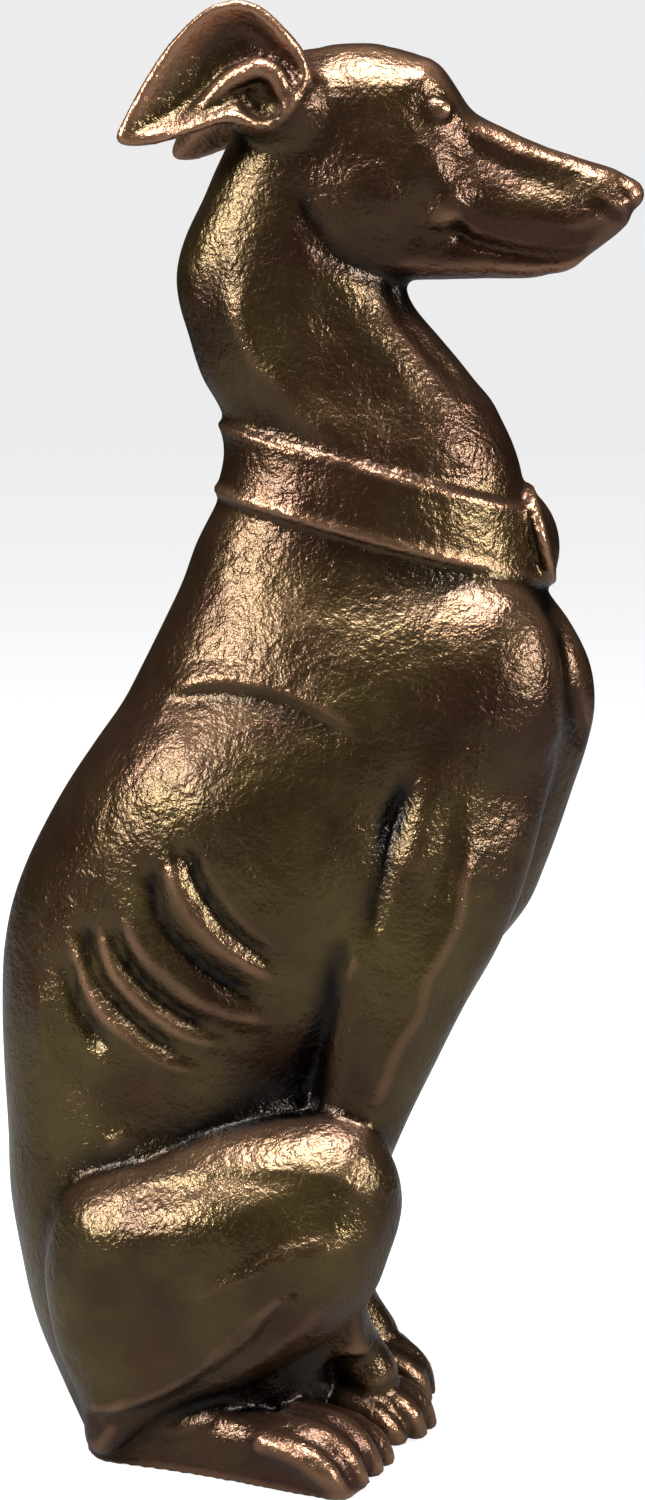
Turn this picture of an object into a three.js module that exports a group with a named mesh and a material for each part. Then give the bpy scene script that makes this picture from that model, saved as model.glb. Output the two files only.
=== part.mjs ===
// A seated greyhound, cast in iron as one piece with its collar and the round medallion at its throat.
// It faces +X, its right side is -Y, and it sits on the plane z = 0. Sizes are in millimetres.
//
// The figure is worked as a sculptor works clay. A block of space holds, at each point, the distance to the
// surface, less than zero inside. Forms are added to it and cut from it with soft joins, lines are pressed
// into it, and the skin of the block is then meshed and thinned to few triangles.

import * as THREE from "three";
import { triTable } from "three/addons/objects/MarchingCubes.js";

// ---- Driving dimensions -------------------------------------------------------------------------

const HEIGHT = 489; // floor to the rim of the ears
const CELL = 2.5; // spacing of the block's points
const TRIANGLES = 9400; // of the finished casting
const BLOCK_LOW = new THREE.Vector3(-123, -93, -6);
const BLOCK_HIGH = new THREE.Vector3(117, 93, HEIGHT + 9);

// Trunk and neck, from the floor up: height, back, front, half width, how far the front draws in to a keel.
const TRUNK = [
  [-6, -82, 8, 45, 0], [2, -85, 8, 47, 0], [20, -92.5, 8, 50, 0], [43, -101.3, 8, 53, 0],
  [65, -106, 8, 53, 0], [87, -109.4, 10, 51, 0], [109, -110, 15, 49, 0], [130, -111, 24, 49, 0.05],
  [152, -111.4, 40, 49.5, 0.1], [174, -110.2, 60, 50.5, 0.18], [188, -107.4, 71, 52, 0.25],
  [202, -102.4, 77, 53, 0.32], [216, -95.6, 82, 53.5, 0.38], [230, -87.6, 86.5, 53, 0.44],
  [244, -78.2, 91, 52, 0.48], [258, -68.4, 93.2, 50, 0.46], [272, -61, 91.2, 47, 0.38],
  [286, -54, 84.2, 43, 0.28], [299, -47.8, 75, 39, 0.18], [313, -42.6, 70.5, 35.5, 0.12],
  [326, -36, 68.5, 33.5, 0.1], [338, -31, 67, 32, 0.1], [347, -30.6, 64, 31, 0.1],
  [354, -32.8, 60.6, 30.3, 0.1], [361, -36.2, 56.8, 29.5, 0.1], [367, -39.9, 51.6, 29, 0.1],
  [374, -42.6, 46, 28.6, 0.1], [381, -44.6, 40, 28, 0.1], [394, -48.3, 29.5, 27, 0.1],
  [401, -49, 27, 26.5, 0.05], [407, -48.3, 25, 26, 0.05], [414, -46.2, 22, 25.5, 0],
  [427, -40, 17, 24, 0], [443, -32.4, 10, 21, 0], [452, -26, 2, 16, 0],
];

// Foreleg from the wrist up into the shoulder: height, back, front, half width, keel, distance off centre.
const FORELEG = [
  [34, -1, 17, 9, 0, 22], [46, -1, 15, 9.5, 0, 23], [60, -3, 15, 10.5, 0, 25.5],
  [80, -5.5, 17.5, 12.5, 0.05, 29], [104, -7, 23.5, 15, 0.15, 31.5], [118, -6, 29, 16.5, 0.2, 33],
  [139, -1, 38.5, 18.5, 0.25, 34.5], [160, 4, 48.5, 20.5, 0.3, 35], [181, 9, 60, 22, 0.35, 34.5],
  [196, 13, 66.5, 22.5, 0.4, 33], [214, 17, 72, 21.5, 0.4, 31], [235, 20, 76, 18.5, 0.4, 27],
  [262, 28, 76, 12, 0.4, 18],
];

// Hind leg folded under the body, as an outline seen from the side: rump, thigh, knee, shin, heel.
const HIND_LEG = [
  [-91, 84], [-87, 94], [-80, 101], [-69, 106], [-55, 111], [-39, 118], [-19, 122.5], [1, 124.5],
  [12, 123],
  [20, 117.5], [25.5, 109], [28, 98], [27, 88], [23.5, 77], [19.5, 66], [12.5, 56], [2, 46.5], [-9, 39],
  [-23, 32], [-39, 26], [-56, 16], [-66, 8], [-74, 4], [-79.5, 8], [-80.5, 16], [-83, 27], [-88, 39],
  [-91, 50], [-93, 65], [-92.5, 76],
];
const HIND_FOOT = [
  [-81, 8], [-80, 16], [-66, 22], [-48, 23], [-30, 23], [-12, 24], [2, 25], [14, 20], [20, 10], [20, -6],
  [-74, -6], [-80, 0],
];
const LEFT_LEG_BACK = 3; // the left hind leg is drawn a little further back

// Toes from the outer one in, each from root to knuckle to tip: x, y, z, radius. A front toe's y is its
// distance outwards from the middle of the paw.
const HIND_TOES = [
  [[-17, 61, 13.5, 5.4], [-5, 66, 11.2, 5.6], [2, 68.6, 8.2, 5.4], [6, 69.5, 4.5, 4.3]],
  [[-12, 55.5, 16.5, 5.8], [0, 60, 13.6, 6], [8, 62.2, 10, 5.8], [12.6, 62.8, 5, 4.6]],
  [[-8, 48.5, 17.5, 5.8], [5, 52, 14.2, 6], [13, 53.5, 10, 5.8], [17.5, 53.5, 5, 4.6]],
  [[-4, 41.5, 15.5, 5.4], [9, 44, 12, 5.7], [17.5, 44.5, 8.6, 5.4], [21.5, 44.5, 4.6, 4.4]],
];
const FRONT_TOES = [
  [[6, 7.5, 15, 5.5], [17, 9.5, 12, 5.6], [23, 10.5, 7.5, 4.9], [26, 10.5, 4, 3.8]],
  [[9, 2.5, 18, 6], [23, 4, 14.3, 6], [30, 4.6, 9.5, 5.3], [33, 4.6, 4.5, 4.1]],
  [[10, -3.5, 18.5, 6], [25.5, -4, 14.6, 6], [33.5, -4, 9.5, 5.3], [36.5, -4, 4.5, 4.1]],
  [[9, -9.5, 16, 5.5], [24, -11.5, 13, 5.6], [32.5, -12, 8.4, 5], [35.5, -12, 4.2, 3.9]],
];
// The middle of each front paw across, and how much higher its toes are arched.
const FRONT_PAWS = [{ aside: -16, arch: 1 }, { aside: 22, arch: 1.28 }];

// Each rib is a ridge with a furrow above it.
const FURROWS = [
  [[-44, 217], [-42.8, 213.8], [-38.9, 204.4], [-31.1, 192.4], [-20.6, 183], [-9, 174.5]],
  [[-56, 210], [-54.7, 205.7], [-52.2, 193.6], [-44.4, 182.9], [-31.2, 172.1], [-15, 162.5]],
  [[-69, 192], [-65.7, 180.9], [-59.2, 170.1], [-47.3, 160.7], [-33, 153.5]],
  [[-79, 189], [-77.7, 183.6], [-73.8, 170], [-66, 160.5], [-55.4, 151.1], [-43, 144]],
  [[-85, 176], [-83.8, 171.3], [-80.6, 160.5], [-75.4, 152.3], [-70, 146]],
];
const RIDGES = [
  [[-49, 213], [-48.1, 207.1], [-42.9, 196.4], [-33.8, 185.6], [-23.2, 179], [-9, 171]],
  [[-66.9, 200], [-61.7, 185], [-52.5, 175.6], [-39.3, 164.8], [-26.1, 159.5], [-12, 157]],
  [[-72.8, 191], [-70, 178], [-65.8, 170.8], [-55.3, 161.3], [-42.1, 152.5], [-24, 147]],
  [[-84.3, 184], [-79.1, 171.4], [-71.3, 159.1], [-60.7, 151], [-48.8, 142.9], [-32, 139]],
];

// The head looks a little to its right: it is shaped straight ahead, then turned about the nape.
const HEAD_TURN = THREE.MathUtils.degToRad(8.5);
const NAPE = new THREE.Vector2(-12, 0);
// Skull and muzzle, from the nape forward: place along x, top, bottom, half width at the brow edge, at the
// cheek and at the jaw, height of the brow edge.
const HEAD = [
  [-28, 462, 430, 8, 11, 9, 448], [-22, 470, 424, 15, 18, 13, 452], [-12, 474.5, 415, 20, 22.5, 17, 455],
  [-2, 476.6, 409, 22, 23.5, 18.5, 456.5], [9, 478, 403.5, 23, 24, 18, 457],
  [18, 477.7, 401.2, 22.5, 23, 16, 457], [26, 475.9, 400.8, 21, 22, 14.5, 457.5],
  [33, 473.8, 400.5, 18.6, 21, 13, 461.5],
  [38, 471.8, 400.5, 15.6, 20.3, 12, 465.5], [41, 469, 400.5, 13.6, 19.5, 11, 462],
  [44.5, 464, 400.6, 12.2, 18, 10.3, 456.5], [49.5, 456.6, 400.8, 10.4, 15.8, 9.4, 449.5],
  [54.5, 453.2, 401, 9.4, 14, 8.8, 446], [60, 450.6, 401, 8.6, 12.8, 8.3, 443.6],
  [68, 446.8, 401, 8, 11.8, 7.6, 440.2], [76, 443.6, 402.2, 7.2, 10.8, 6.8, 437.4],
  [84, 441, 404.2, 6.6, 10, 6, 435.2], [92, 438.3, 410.6, 6, 9.2, 5.4, 432.6],
  [98, 436.2, 415.6, 5, 8, 4.6, 430.6], [102, 434, 419.6, 4, 6, 3.8, 429],
];
const EAR = [
  [2.5, 465], [-0.5, 473.5], [-5.5, 480], [-12.5, 486.6], [-18.5, 489.2], [-24.5, 489.2], [-30.5, 487.4],
  [-36.5, 483], [-44.2, 475], [-50, 466.8], [-55, 458.5], [-59.4, 450], [-61.4, 445.6], [-58, 443.2],
  [-50, 443.4], [-43, 445], [-36, 447], [-25, 450.5], [-14, 449.5], [-5, 453],
];

const COLLAR = { middle: new THREE.Vector3(17, 0, 329.3), tilt: THREE.MathUtils.degToRad(15) };
const COLLAR_WIDTH = 20.4;
const COLLAR_PROUD = 2.8;
const MEDALLION = {
  middle: new THREE.Vector3(73.8, 0, 315.6),
  tilt: THREE.MathUtils.degToRad(14.5),
  radius: 18,
  half: 2, // thickness of its edge
  domeRadius: 24.2,
  domeSunk: 18, // how far the dome's centre lies behind the disc
  domeWide: 13.5,
};

// ---- Curves -------------------------------------------------------------------------------------

// Values at t on smooth curves through rows of [t, value, value, ...], held still past both ends.
function through(rows, t) {
  const last = rows.length - 1;
  const u = THREE.MathUtils.clamp(t, rows[0][0], rows[last][0]);
  let i = 0;
  while (i < last - 1 && u >= rows[i + 1][0]) i++;
  const span = rows[i + 1][0] - rows[i][0];
  const s = (u - rows[i][0]) / span;
  const near = (1 + 2 * s) * (1 - s) ** 2;
  const far = s * s * (3 - 2 * s);
  const leave = s * (1 - s) ** 2 * span;
  const arrive = s * s * (s - 1) * span;
  return rows[i].slice(1).map((value, column) => {
    const c = column + 1;
    return near * value + far * rows[i + 1][c] + leave * slope(rows, i, c) + arrive * slope(rows, i + 1, c);
  });
}

// Slope of one column at a row: the parabola through it and its two neighbours, or the end chord.
function slope(rows, i, c) {
  const before = rows[Math.max(i - 1, 0)];
  const here = rows[i];
  const after = rows[Math.min(i + 1, rows.length - 1)];
  const back = here[0] - before[0];
  const ahead = after[0] - here[0];
  if (back === 0) return (after[c] - here[c]) / ahead;
  if (ahead === 0) return (here[c] - before[c]) / back;
  const rise = (here[c] - before[c]) / back;
  const climb = (after[c] - here[c]) / ahead;
  return (rise * ahead + climb * back) / (back + ahead);
}

// Points along a smooth line through rows of numbers, with `steps` pieces between each pair of rows.
function refine(rows, steps) {
  const numbered = rows.map((row, i) => [i, ...row]);
  const count = (rows.length - 1) * steps;
  return Array.from({ length: count + 1 }, (_, i) => through(numbered, i / steps));
}

const clamp01 = (value) => THREE.MathUtils.clamp(value, 0, 1);
const ease = (value) => clamp01(value) ** 2 * (3 - 2 * clamp01(value));
const bell = (value) => Math.exp(-value * value);

// ---- Forms: each is a function of x, y, z that gives the distance to its surface ----------------

// A form sliced by height: rows of [z, back, front, half width, keel, off centre].
function column(rows, power) {
  let height = NaN;
  let section;
  const low = rows[0][0];
  const high = rows[rows.length - 1][0];
  return (x, y, z) => {
    if (z !== height) {
      height = z;
      section = through(rows, z);
    }
    const [back, front, halfWidth, keel, aside = 0] = section;
    const dx = x - (back + front) / 2;
    const dy = y - aside;
    const u = dx / ((front - back) / 2);
    const wide = halfWidth * (1 - keel * u * Math.min(Math.max(u, 0), 2) ** 0.3);
    const q = (Math.abs(u) ** power + (Math.abs(dy) / Math.max(wide, 4)) ** power) ** (1 / power) + 1e-6;
    return Math.max(Math.hypot(dx, dy) * (1 - 1 / q), z - high, low - z) * 0.93;
  };
}

// An ellipsoid: centre, radii, and a turn in degrees about the y or the z axis.
function oval(centre, radii, turn = 0, axis = "y") {
  const angle = THREE.MathUtils.degToRad(turn);
  const c = Math.cos(angle);
  const s = Math.sin(angle);
  return (px, py, pz) => {
    let x = px - centre[0];
    let y = py - centre[1];
    let z = pz - centre[2];
    if (axis === "y") [x, z] = [x * c - z * s, x * s + z * c];
    else [x, y] = [x * c + y * s, -x * s + y * c];
    const k0 = Math.hypot(x / radii[0], y / radii[1], z / radii[2]) + 1e-6;
    const k1 = Math.hypot(x / radii[0] ** 2, y / radii[1] ** 2, z / radii[2] ** 2) + 1e-9;
    return (k0 * (k0 - 1)) / k1;
  };
}

// A limb along a smooth line: rows of [x, y, z, radius].
function limb(rows, steps) {
  const points = refine(rows, steps);
  return (x, y, z) => {
    let best = Infinity;
    for (let i = 0; i + 1 < points.length; i++) {
      const [ax, ay, az, ar] = points[i];
      const [bx, by, bz, br] = points[i + 1];
      const [dx, dy, dz] = [bx - ax, by - ay, bz - az];
      const s = clamp01(((x - ax) * dx + (y - ay) * dy + (z - az) * dz) / (dx * dx + dy * dy + dz * dz));
      const away = Math.hypot(x - ax - s * dx, y - ay - s * dy, z - az - s * dz);
      best = Math.min(best, away - ar - s * (br - ar));
    }
    return best;
  };
}

// Distance in the side view to a closed outline, less than zero inside it.
function outline(points, steps = 3) {
  const rim = refine([...points, points[0]], steps);
  return (x, z) => {
    let best = Infinity;
    let inside = false;
    for (let i = 0; i + 1 < rim.length; i++) {
      const [ax, az] = rim[i];
      const [bx, bz] = rim[i + 1];
      const [dx, dz] = [bx - ax, bz - az];
      const s = clamp01(((x - ax) * dx + (z - az) * dz) / (dx * dx + dz * dz));
      best = Math.min(best, Math.hypot(x - ax - s * dx, z - az - s * dz));
      if (az > z !== bz > z && x < ax + ((z - az) / dz) * dx) inside = !inside;
    }
    return inside ? -best : best;
  };
}

// A form with a true side outline, rounded over `round` from its edge.
// `middle` and `half` give, at x and z,
// the place of its middle across y and its half thickness.
function pillow(points, middle, half, round) {
  const edge = outline(points);
  return (x, y, z) => {
    const inwards = Math.min(-edge(x, z), round);
    const thick = half(x, z);
    const q = Math.hypot((round - inwards) / round, (y - middle(x, z)) / thick);
    return (q - 1) * Math.min(round, thick) * 0.95;
  };
}

// How deep a line pressed into the surface is, read in the side view. It fades over `ends` of its length.
// A depth less than zero raises a ridge.
function line(points, width, depth, ends) {
  const path = refine(points, 4);
  return (x, y, z) => {
    const { away, along } = nearest(path, x, z);
    return depth * bell(away / width) * (0.15 + 0.85 * ease(Math.min(along, 1 - along) / ends));
  };
}

// A step along a line: raised on its left by `rise`, sunk on its right by `sink`, dying away over `reach`.
function fold(points, rise, sink, reach, ends) {
  const path = refine(points, 4);
  return (x, y, z) => {
    const { away, along, left } = nearest(path, x, z);
    const over = left ? away : -away;
    const upper = 1 / (1 + Math.exp(-over / 0.8));
    const dying = Math.exp(-away / reach);
    return -(upper * rise - (1 - upper) * sink) * dying * ease(Math.min(along, 1 - along) / ends);
  };
}

// A soft round hollow, or with a depth less than zero a mound.
const dent = (x0, z0, wide, high, depth) => (x, y, z) =>
  depth * bell(Math.hypot((x - x0) / wide, (z - z0) / high));

// Distance from (x, z) to a line in the side view, how far along it that is, 0 to 1, and on which side.
function nearest(path, x, z) {
  let away = Infinity;
  let along = 0;
  let left = true;
  for (let i = 0; i + 1 < path.length; i++) {
    const [ax, az] = path[i];
    const [dx, dz] = [path[i + 1][0] - ax, path[i + 1][1] - az];
    const s = clamp01(((x - ax) * dx + (z - az) * dz) / (dx * dx + dz * dz));
    const here = Math.hypot(x - ax - s * dx, z - az - s * dz);
    if (here < away) {
      away = here;
      along = (i + s) / (path.length - 1);
      left = dx * (z - az) - dz * (x - ax) > 0;
    }
  }
  return { away, along, left };
}

// ---- The block of clay --------------------------------------------------------------------------

const counts = BLOCK_HIGH.clone().sub(BLOCK_LOW).divideScalar(CELL).ceil();
const [NX, NY, NZ] = counts.toArray();
const EMPTY = 60; // the distance that points far from any form hold
let clay = new Float32Array(NX * NY * NZ).fill(EMPTY);
const at = (i, j, k) => (k * NY + j) * NX + i;

// Runs `change` on the value at each point of the block inside the box from `low` to `high`.
function work(low, high, change) {
  const first = low.map((v, a) => Math.max(Math.floor((v - BLOCK_LOW.getComponent(a)) / CELL), 0));
  const ends = [NX, NY, NZ];
  const past = high.map((v, a) => Math.min(Math.ceil((v - BLOCK_LOW.getComponent(a)) / CELL) + 1, ends[a]));
  for (let k = first[2]; k < past[2]; k++) {
    const z = BLOCK_LOW.z + k * CELL;
    for (let j = first[1]; j < past[1]; j++) {
      const y = BLOCK_LOW.y + j * CELL;
      for (let i = first[0]; i < past[0]; i++) {
        clay[at(i, j, k)] = change(clay[at(i, j, k)], BLOCK_LOW.x + i * CELL, y, z);
      }
    }
  }
}

// The nearer of two surfaces, with the corner between them filled over `soft`.
function joined(a, b, soft) {
  const h = Math.max(soft - Math.abs(a - b), 0) / Math.max(soft, 1e-6);
  return Math.min(a, b) - (h * h * soft) / 4;
}

const add = (form, soft, low, high) => work(low, high, (f, x, y, z) => joined(f, form(x, y, z), soft));
const cut = (form, soft, low, high) => work(low, high, (f, x, y, z) => -joined(-f, form(x, y, z), soft));
const press = (depth, low, high) => work(low, high, (f, x, y, z) => f + depth(x, y, z));

// Each point becomes the mean of itself and its neighbours, weighted 1 4 1 along each axis in turn.
function smoothed() {
  for (const step of [1, NX, NX * NY]) {
    const before = clay;
    clay = before.map((value, i) => {
      if (i < step || i + step >= before.length) return value;
      return (before[i - step] + 4 * value + before[i + step]) / 6;
    });
  }
}

// Keeps the one body that holds the middle of the trunk, and drops any crumb of clay beside it.
function oneBody() {
  const middle = new THREE.Vector3(-20, 0, 200).sub(BLOCK_LOW).divideScalar(CELL).round();
  const reached = new Uint8Array(clay.length);
  const waiting = [at(...middle.toArray())];
  while (waiting.length > 0) {
    const i = waiting.pop();
    for (const step of [1, -1, NX, -NX, NX * NY, -NX * NY]) {
      if (clay[i + step] < 0 && !reached[i + step]) {
        reached[i + step] = 1;
        waiting.push(i + step);
      }
    }
  }
  clay = clay.map((value, i) => (value < 0 && !reached[i] ? CELL : value));
}

// The same form on both flanks.
const both = (form) => (x, y, z) => form(x, Math.abs(y), z);
const addPair = (form, soft, [lx, ly, lz], [hx, hy, hz]) => {
  add(both(form), soft, [lx, Math.min(ly, -hy), lz], [hx, hy, hz]);
};
const pressPair = (depth, [lx, ly, lz], [hx, hy, hz]) => {
  press((x, y, z) => (Math.abs(y) < ly ? 0 : depth(x, Math.abs(y), z)), [lx, -hy, lz], [hx, hy, hz]);
};

// ---- Body ---------------------------------------------------------------------------------------

const WHOLE_LOW = BLOCK_LOW.toArray();
const WHOLE_HIGH = BLOCK_HIGH.toArray();
const trunk = column(TRUNK, 2.3);

function body() {
  work(WHOLE_LOW, WHOLE_HIGH, (f, x, y, z) => Math.min(f, trunk(x, y, z)));
  // Rib cage, shoulder blade and point of the shoulder.
  addPair(oval([-14, 24, 205], [62, 32, 62], -28), 16, [-115, 0, 100], [90, 80, 300]);
  addPair(oval([28, 27, 254], [48, 22, 34], -28), 16, [-40, 0, 190], [110, 70, 330]);
  addPair(oval([57, 28, 258], [23, 16.5, 40], 8), 14, [10, 0, 190], [110, 70, 330]);
  // Foreleg, upper arm, the muscle behind it and the elbow.
  addPair(column(FORELEG, 2.6), 6, [-40, 0, 26], [110, 80, 262]);
  const upperArm = [[50, 32, 256, 13], [40, 37, 230, 14.5], [31, 40, 208, 14], [23, 41, 190, 12]];
  addPair(limb(upperArm, 5), 9, [0, 0, 150], [110, 80, 300]);
  addPair(oval([4, 34, 214], [22, 16, 30], -10), 10, [-40, 0, 150], [110, 80, 300]);
  addPair(oval([14, 46, 181], [8.5, 7.5, 12], -8), 5, [-10, 10, 150], [50, 80, 210]);
}

// The step at the edge of the shoulder blade, the ribs, the drawn-in belly and the folds of the flank.
function flanks() {
  const bladeEdge = [
    [-52, 263], [-46, 265.7], [-36, 268], [-26, 268], [-13, 266], [-2, 262], [8, 256.5], [18, 249],
  ];
  const forms = [
    fold(bladeEdge, 1.7, 2.4, 10, 0.22),
    dent(-7, 285, 18, 12, -1.2),
    dent(-10, 197, 17, 16, -2),
    dent(-32, 231, 18, 14, -1.2),
    dent(-11, 133, 22, 15, 4),
    dent(-83, 137, 9, 16, 1.8),
    line([[-95, 172], [-94, 158], [-92.5, 144], [-87, 127]], 5, -1.4, 0.3),
    line([[-73, 111], [-68, 115.5], [-62, 119]], 2.4, -1.4, 0.35),
    line([[-66, 109.5], [-56, 113], [-44, 116.5]], 2.4, -1.4, 0.35),
    ...FURROWS.map((points) => line(points, 3.1, 2.4, 0.25)),
    ...RIDGES.map((points) => line(points, 4, -1.5, 0.25)),
  ];
  for (const form of forms) {
    pressPair((x, y, z) => form(x, y, z) * clamp01((y - 12) / 14), [-112, 12, 96], [60, 80, 305]);
  }
}

// ---- Legs and paws ------------------------------------------------------------------------------

const HIND_LOW = [-120, -92, -9];
const HIND_HIGH = [60, 92, 140];

// The same form on both hind legs.
const hind = (form) => (x, y, z) => form(y > 0 ? x + LEFT_LEG_BACK : x, Math.abs(y), z);

function hindLegs() {
  const half = (x, z) => 16 + 13.5 * Math.exp(-(((x + 22) / 52) ** 2) - ((z - 82) / 40) ** 2);
  add(hind(pillow(HIND_LEG, (x) => 44.5 + 0.05 * (x + 75), half, 24)), 2.6, HIND_LOW, HIND_HIGH);
  const footHalf = (x) => through([[-80, 10], [-40, 9], [-5, 11.5], [20, 13.5]], x)[0];
  add(hind(pillow(HIND_FOOT, (x) => 33.5 + 0.36 * (x + 75), footHalf, 9)), 3, HIND_LOW, [60, 92, 30]);
  // Calf, shin, foot, the bevel of the thigh, the hollow of the knee and the dimple behind it.
  const heelToKnee = [
    [-78, 22], [-75.4, 22.5], [-60.2, 26.9], [-48.6, 32.5], [-37, 41], [-27.8, 48.3], [-20.8, 55.6],
    [-13.9, 65.3], [-5, 73.7],
  ];
  const kneeCrest = [
    [-84, 89], [-67, 98.3], [-50, 105], [-32, 109.6], [-14, 110.2], [3.4, 108.6], [13, 103],
    [18.5, 94], [20, 88],
  ];
  const lowerThigh = [[17, 90], [3.4, 90.6], [-11.4, 86.9], [-25.1, 79.7], [-41, 72], [-60, 66]];
  const forms = [
    fold(heelToKnee, 1.7, 2.3, 6, 0.14),
    line([[9, 76], [-2.4, 61], [-16.2, 48.5], [-31.3, 38.7], [-46, 28]], 5.5, -1.6, 0.3),
    line([[-12, 72], [-24, 62], [-33, 51.5], [-43, 43]], 2.6, -1, 0.3),
    fold([[-63, 8.5], [-49.2, 11.8], [-37.5, 18], [-28.2, 23.6], [-17, 30]], 1, 1.8, 5, 0.25),
    fold(kneeCrest, 0.5, 1.3, 8, 0.25),
    fold(lowerThigh, 1.6, 0.6, 8, 0.25),
    dent(-1, 98, 15, 7, 1.6),
    dent(-37, 88, 20, 15, -1.2),
    dent(-8, 73.3, 3.6, 2.6, 2.4),
  ];
  for (const form of forms) {
    const outside = (x, y, z) => (y < 38 ? 0 : form(x, y, z) * clamp01((y - 38) / 8));
    press(hind(outside), HIND_LOW, HIND_HIGH);
  }
  paw(HIND_TOES, hind, HIND_LOW, [60, 92, 40]);
}

// A paw: toes, each with a short claw, and a pad under them.
function paw(toes, sides, low, high) {
  for (const toe of toes) {
    const [x, y, , r] = toe[toe.length - 1];
    add(sides(limb(toe, 4)), 1.3, low, high);
    add(sides(limb([[x + r * 0.7, y, 3, 1.8], [x + r * 1.35, y, 1.4, 0.9]], 1)), 1.2, low, high);
  }
  const mean = (column) => toes.reduce((sum, toe) => sum + toe[1][column], 0) / toes.length;
  add(sides(oval([mean(0) - 6, mean(1), 6], [15, 13, 9])), 3, low, high);
}

function frontPaws() {
  const asCast = (form) => form;
  for (const { aside, arch } of FRONT_PAWS) {
    const side = Math.sign(aside);
    const wrist = [
      [5, side * 24, 62, 10], [6, aside * 0.6 + side * 9.5, 47, 9.8], [9, aside, 35, 10.6],
      [16, aside, 23, 11],
    ];
    add(limb(wrist, 4), 4, [-30, -60, -9], [60, 60, 80]);
    const toes = FRONT_TOES.map((toe) => toe.map(([x, out, z, r]) => [x, aside + side * out, z * arch, r]));
    paw(toes, asCast, [-30, -60, -9], [60, 60, 60]);
  }
}

// Muscles of the foreleg and the groove behind it, the fold that parts it from the belly, and the breast.
function forelegMuscles() {
  const groove = [
    [33, 244], [28.6, 235.5], [24.8, 227.5], [22.2, 215.5], [19.6, 202], [18.3, 191], [19.6, 187],
  ];
  const behind = [[12, 184], [9.7, 181], [7.1, 172], [5.1, 161], [1.8, 147], [-2.2, 133.6], [-6, 122]];
  const ridge = [
    [50, 228], [50.4, 215], [47.8, 204.5], [46, 192.4], [40, 180], [36.2, 173.4], [33.6, 161.2],
    [27, 150.3], [21.8, 136.5], [17.8, 125.5], [13, 104],
  ];
  const forms = [
    line(groove, 2.9, 3.4, 0.15),
    line([[34, 246], [28, 234], [25, 226], [23, 214]], 6.5, 1.6, 0.35),
    line([[38, 252], [35.5, 234], [32.5, 216], [28.5, 200]], 6.5, -1.6, 0.3),
    fold(behind, 1.2, 3.4, 6, 0.15),
    line(ridge, 4.2, -1.8, 0.2),
    line([[42, 240], [42, 222], [40, 206], [37, 192]], 4.5, 1.3, 0.3),
  ];
  for (const form of forms) pressPair(form, [-30, 18, 40], [90, 80, 265]);
  const breast = line([[73, 301], [78, 290], [82, 275], [83.5, 263], [87, 250],
  [90, 238]], 2.6, 2.6, 0.2);
  pressPair((x, y, z) => breast(x, y, z) * clamp01(y / 8), [50, 2, 225], [110, 60, 310]);
}

// The tail is thin. It leaves the rump low down and lies along the floor beside the left hind foot.
function tail() {
  const rows = [
    [-82, 10, 22, 9], [-83, 28, 11, 8], [-77, 46, 8, 7.5], [-60, 60, 7, 7], [-38, 70, 6.2, 6.4],
    [-18, 77, 5.6, 5.6],
    [-4, 79, 5, 4.6],
  ];
  add(limb(rows, 5), 3, [-115, -10, -9], [30, 92, 50]);
}

// ---- Neck, head and ears ------------------------------------------------------------------------

function neckMuscles() {
  const throatFold = [[22.5, 401], [23.7, 397], [27.2, 387.8], [35.6, 377.3], [43, 369.5], [48, 363]];
  const forms = [
    line([[-30, 405], [-27.9, 389], [-22.1, 375], [-9.1, 362.3], [8, 346], [24, 333]], 6.5, -2.2, 0.25),
    line([[-33, 420], [-36, 402], [-35, 385], [-29, 370], [-18, 356]], 5, 1.2, 0.3),
    line([[2, 400], [4, 388], [12, 374], [26, 358], [38, 346]], 9, 1.6, 0.3),
    line(throatFold, 2.4, 2.4, 0.2),
    dent(42, 346, 10, 6, -1.4),
  ];
  for (const form of forms) {
    pressPair((x, y, z) => form(x, y, z) * clamp01((y - 6) / 8), [-60, 6, 338], [70, 60, 440]);
  }
}

// Turns a place in the block back to the head's own straight position.
function toHead(x, y) {
  const [dx, dy] = [x - NAPE.x, y - NAPE.y];
  const [c, s] = [Math.cos(HEAD_TURN), Math.sin(HEAD_TURN)];
  return [c * dx - s * dy + NAPE.x, s * dx + c * dy + NAPE.y];
}

const onHead = (form) => (x, y, z) => {
  const [hx, hy] = toHead(x, y);
  return form(hx, Math.abs(hy), z);
};

// A skull with a flat crown that ends in a brow edge, upright cheeks below it and a narrower jaw.
function skull(x, y, z) {
  const [top, bottom, brow, cheek, jaw, edge] = through(HEAD, x);
  const middle = bottom + (edge - bottom) * 0.55;
  const lip = bottom + (edge - bottom) * 0.18;
  let half;
  if (z > edge) {
    half = brow * Math.sqrt(Math.max(1 - ((z - edge) / (top - edge + 1e-3)) ** 1.7, 0));
  } else if (z > middle) {
    half = cheek + (brow - cheek) * ease((z - middle) / (edge - middle));
  } else if (z > lip) {
    half = cheek + (jaw - cheek) * ease((middle - z) / (middle - lip));
  } else {
    half = jaw * Math.sqrt(Math.max(1 - ((lip - z) / (lip - bottom + 1e-3)) ** 2.4, 0));
  }
  return Math.max((y - half) * 0.72, z - top, bottom - z, x - 102, -28 - x);
}

// A leaf cupped towards the side: its middle is sunk behind a thick rolled rim.
const earEdge = outline(EAR);

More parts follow.
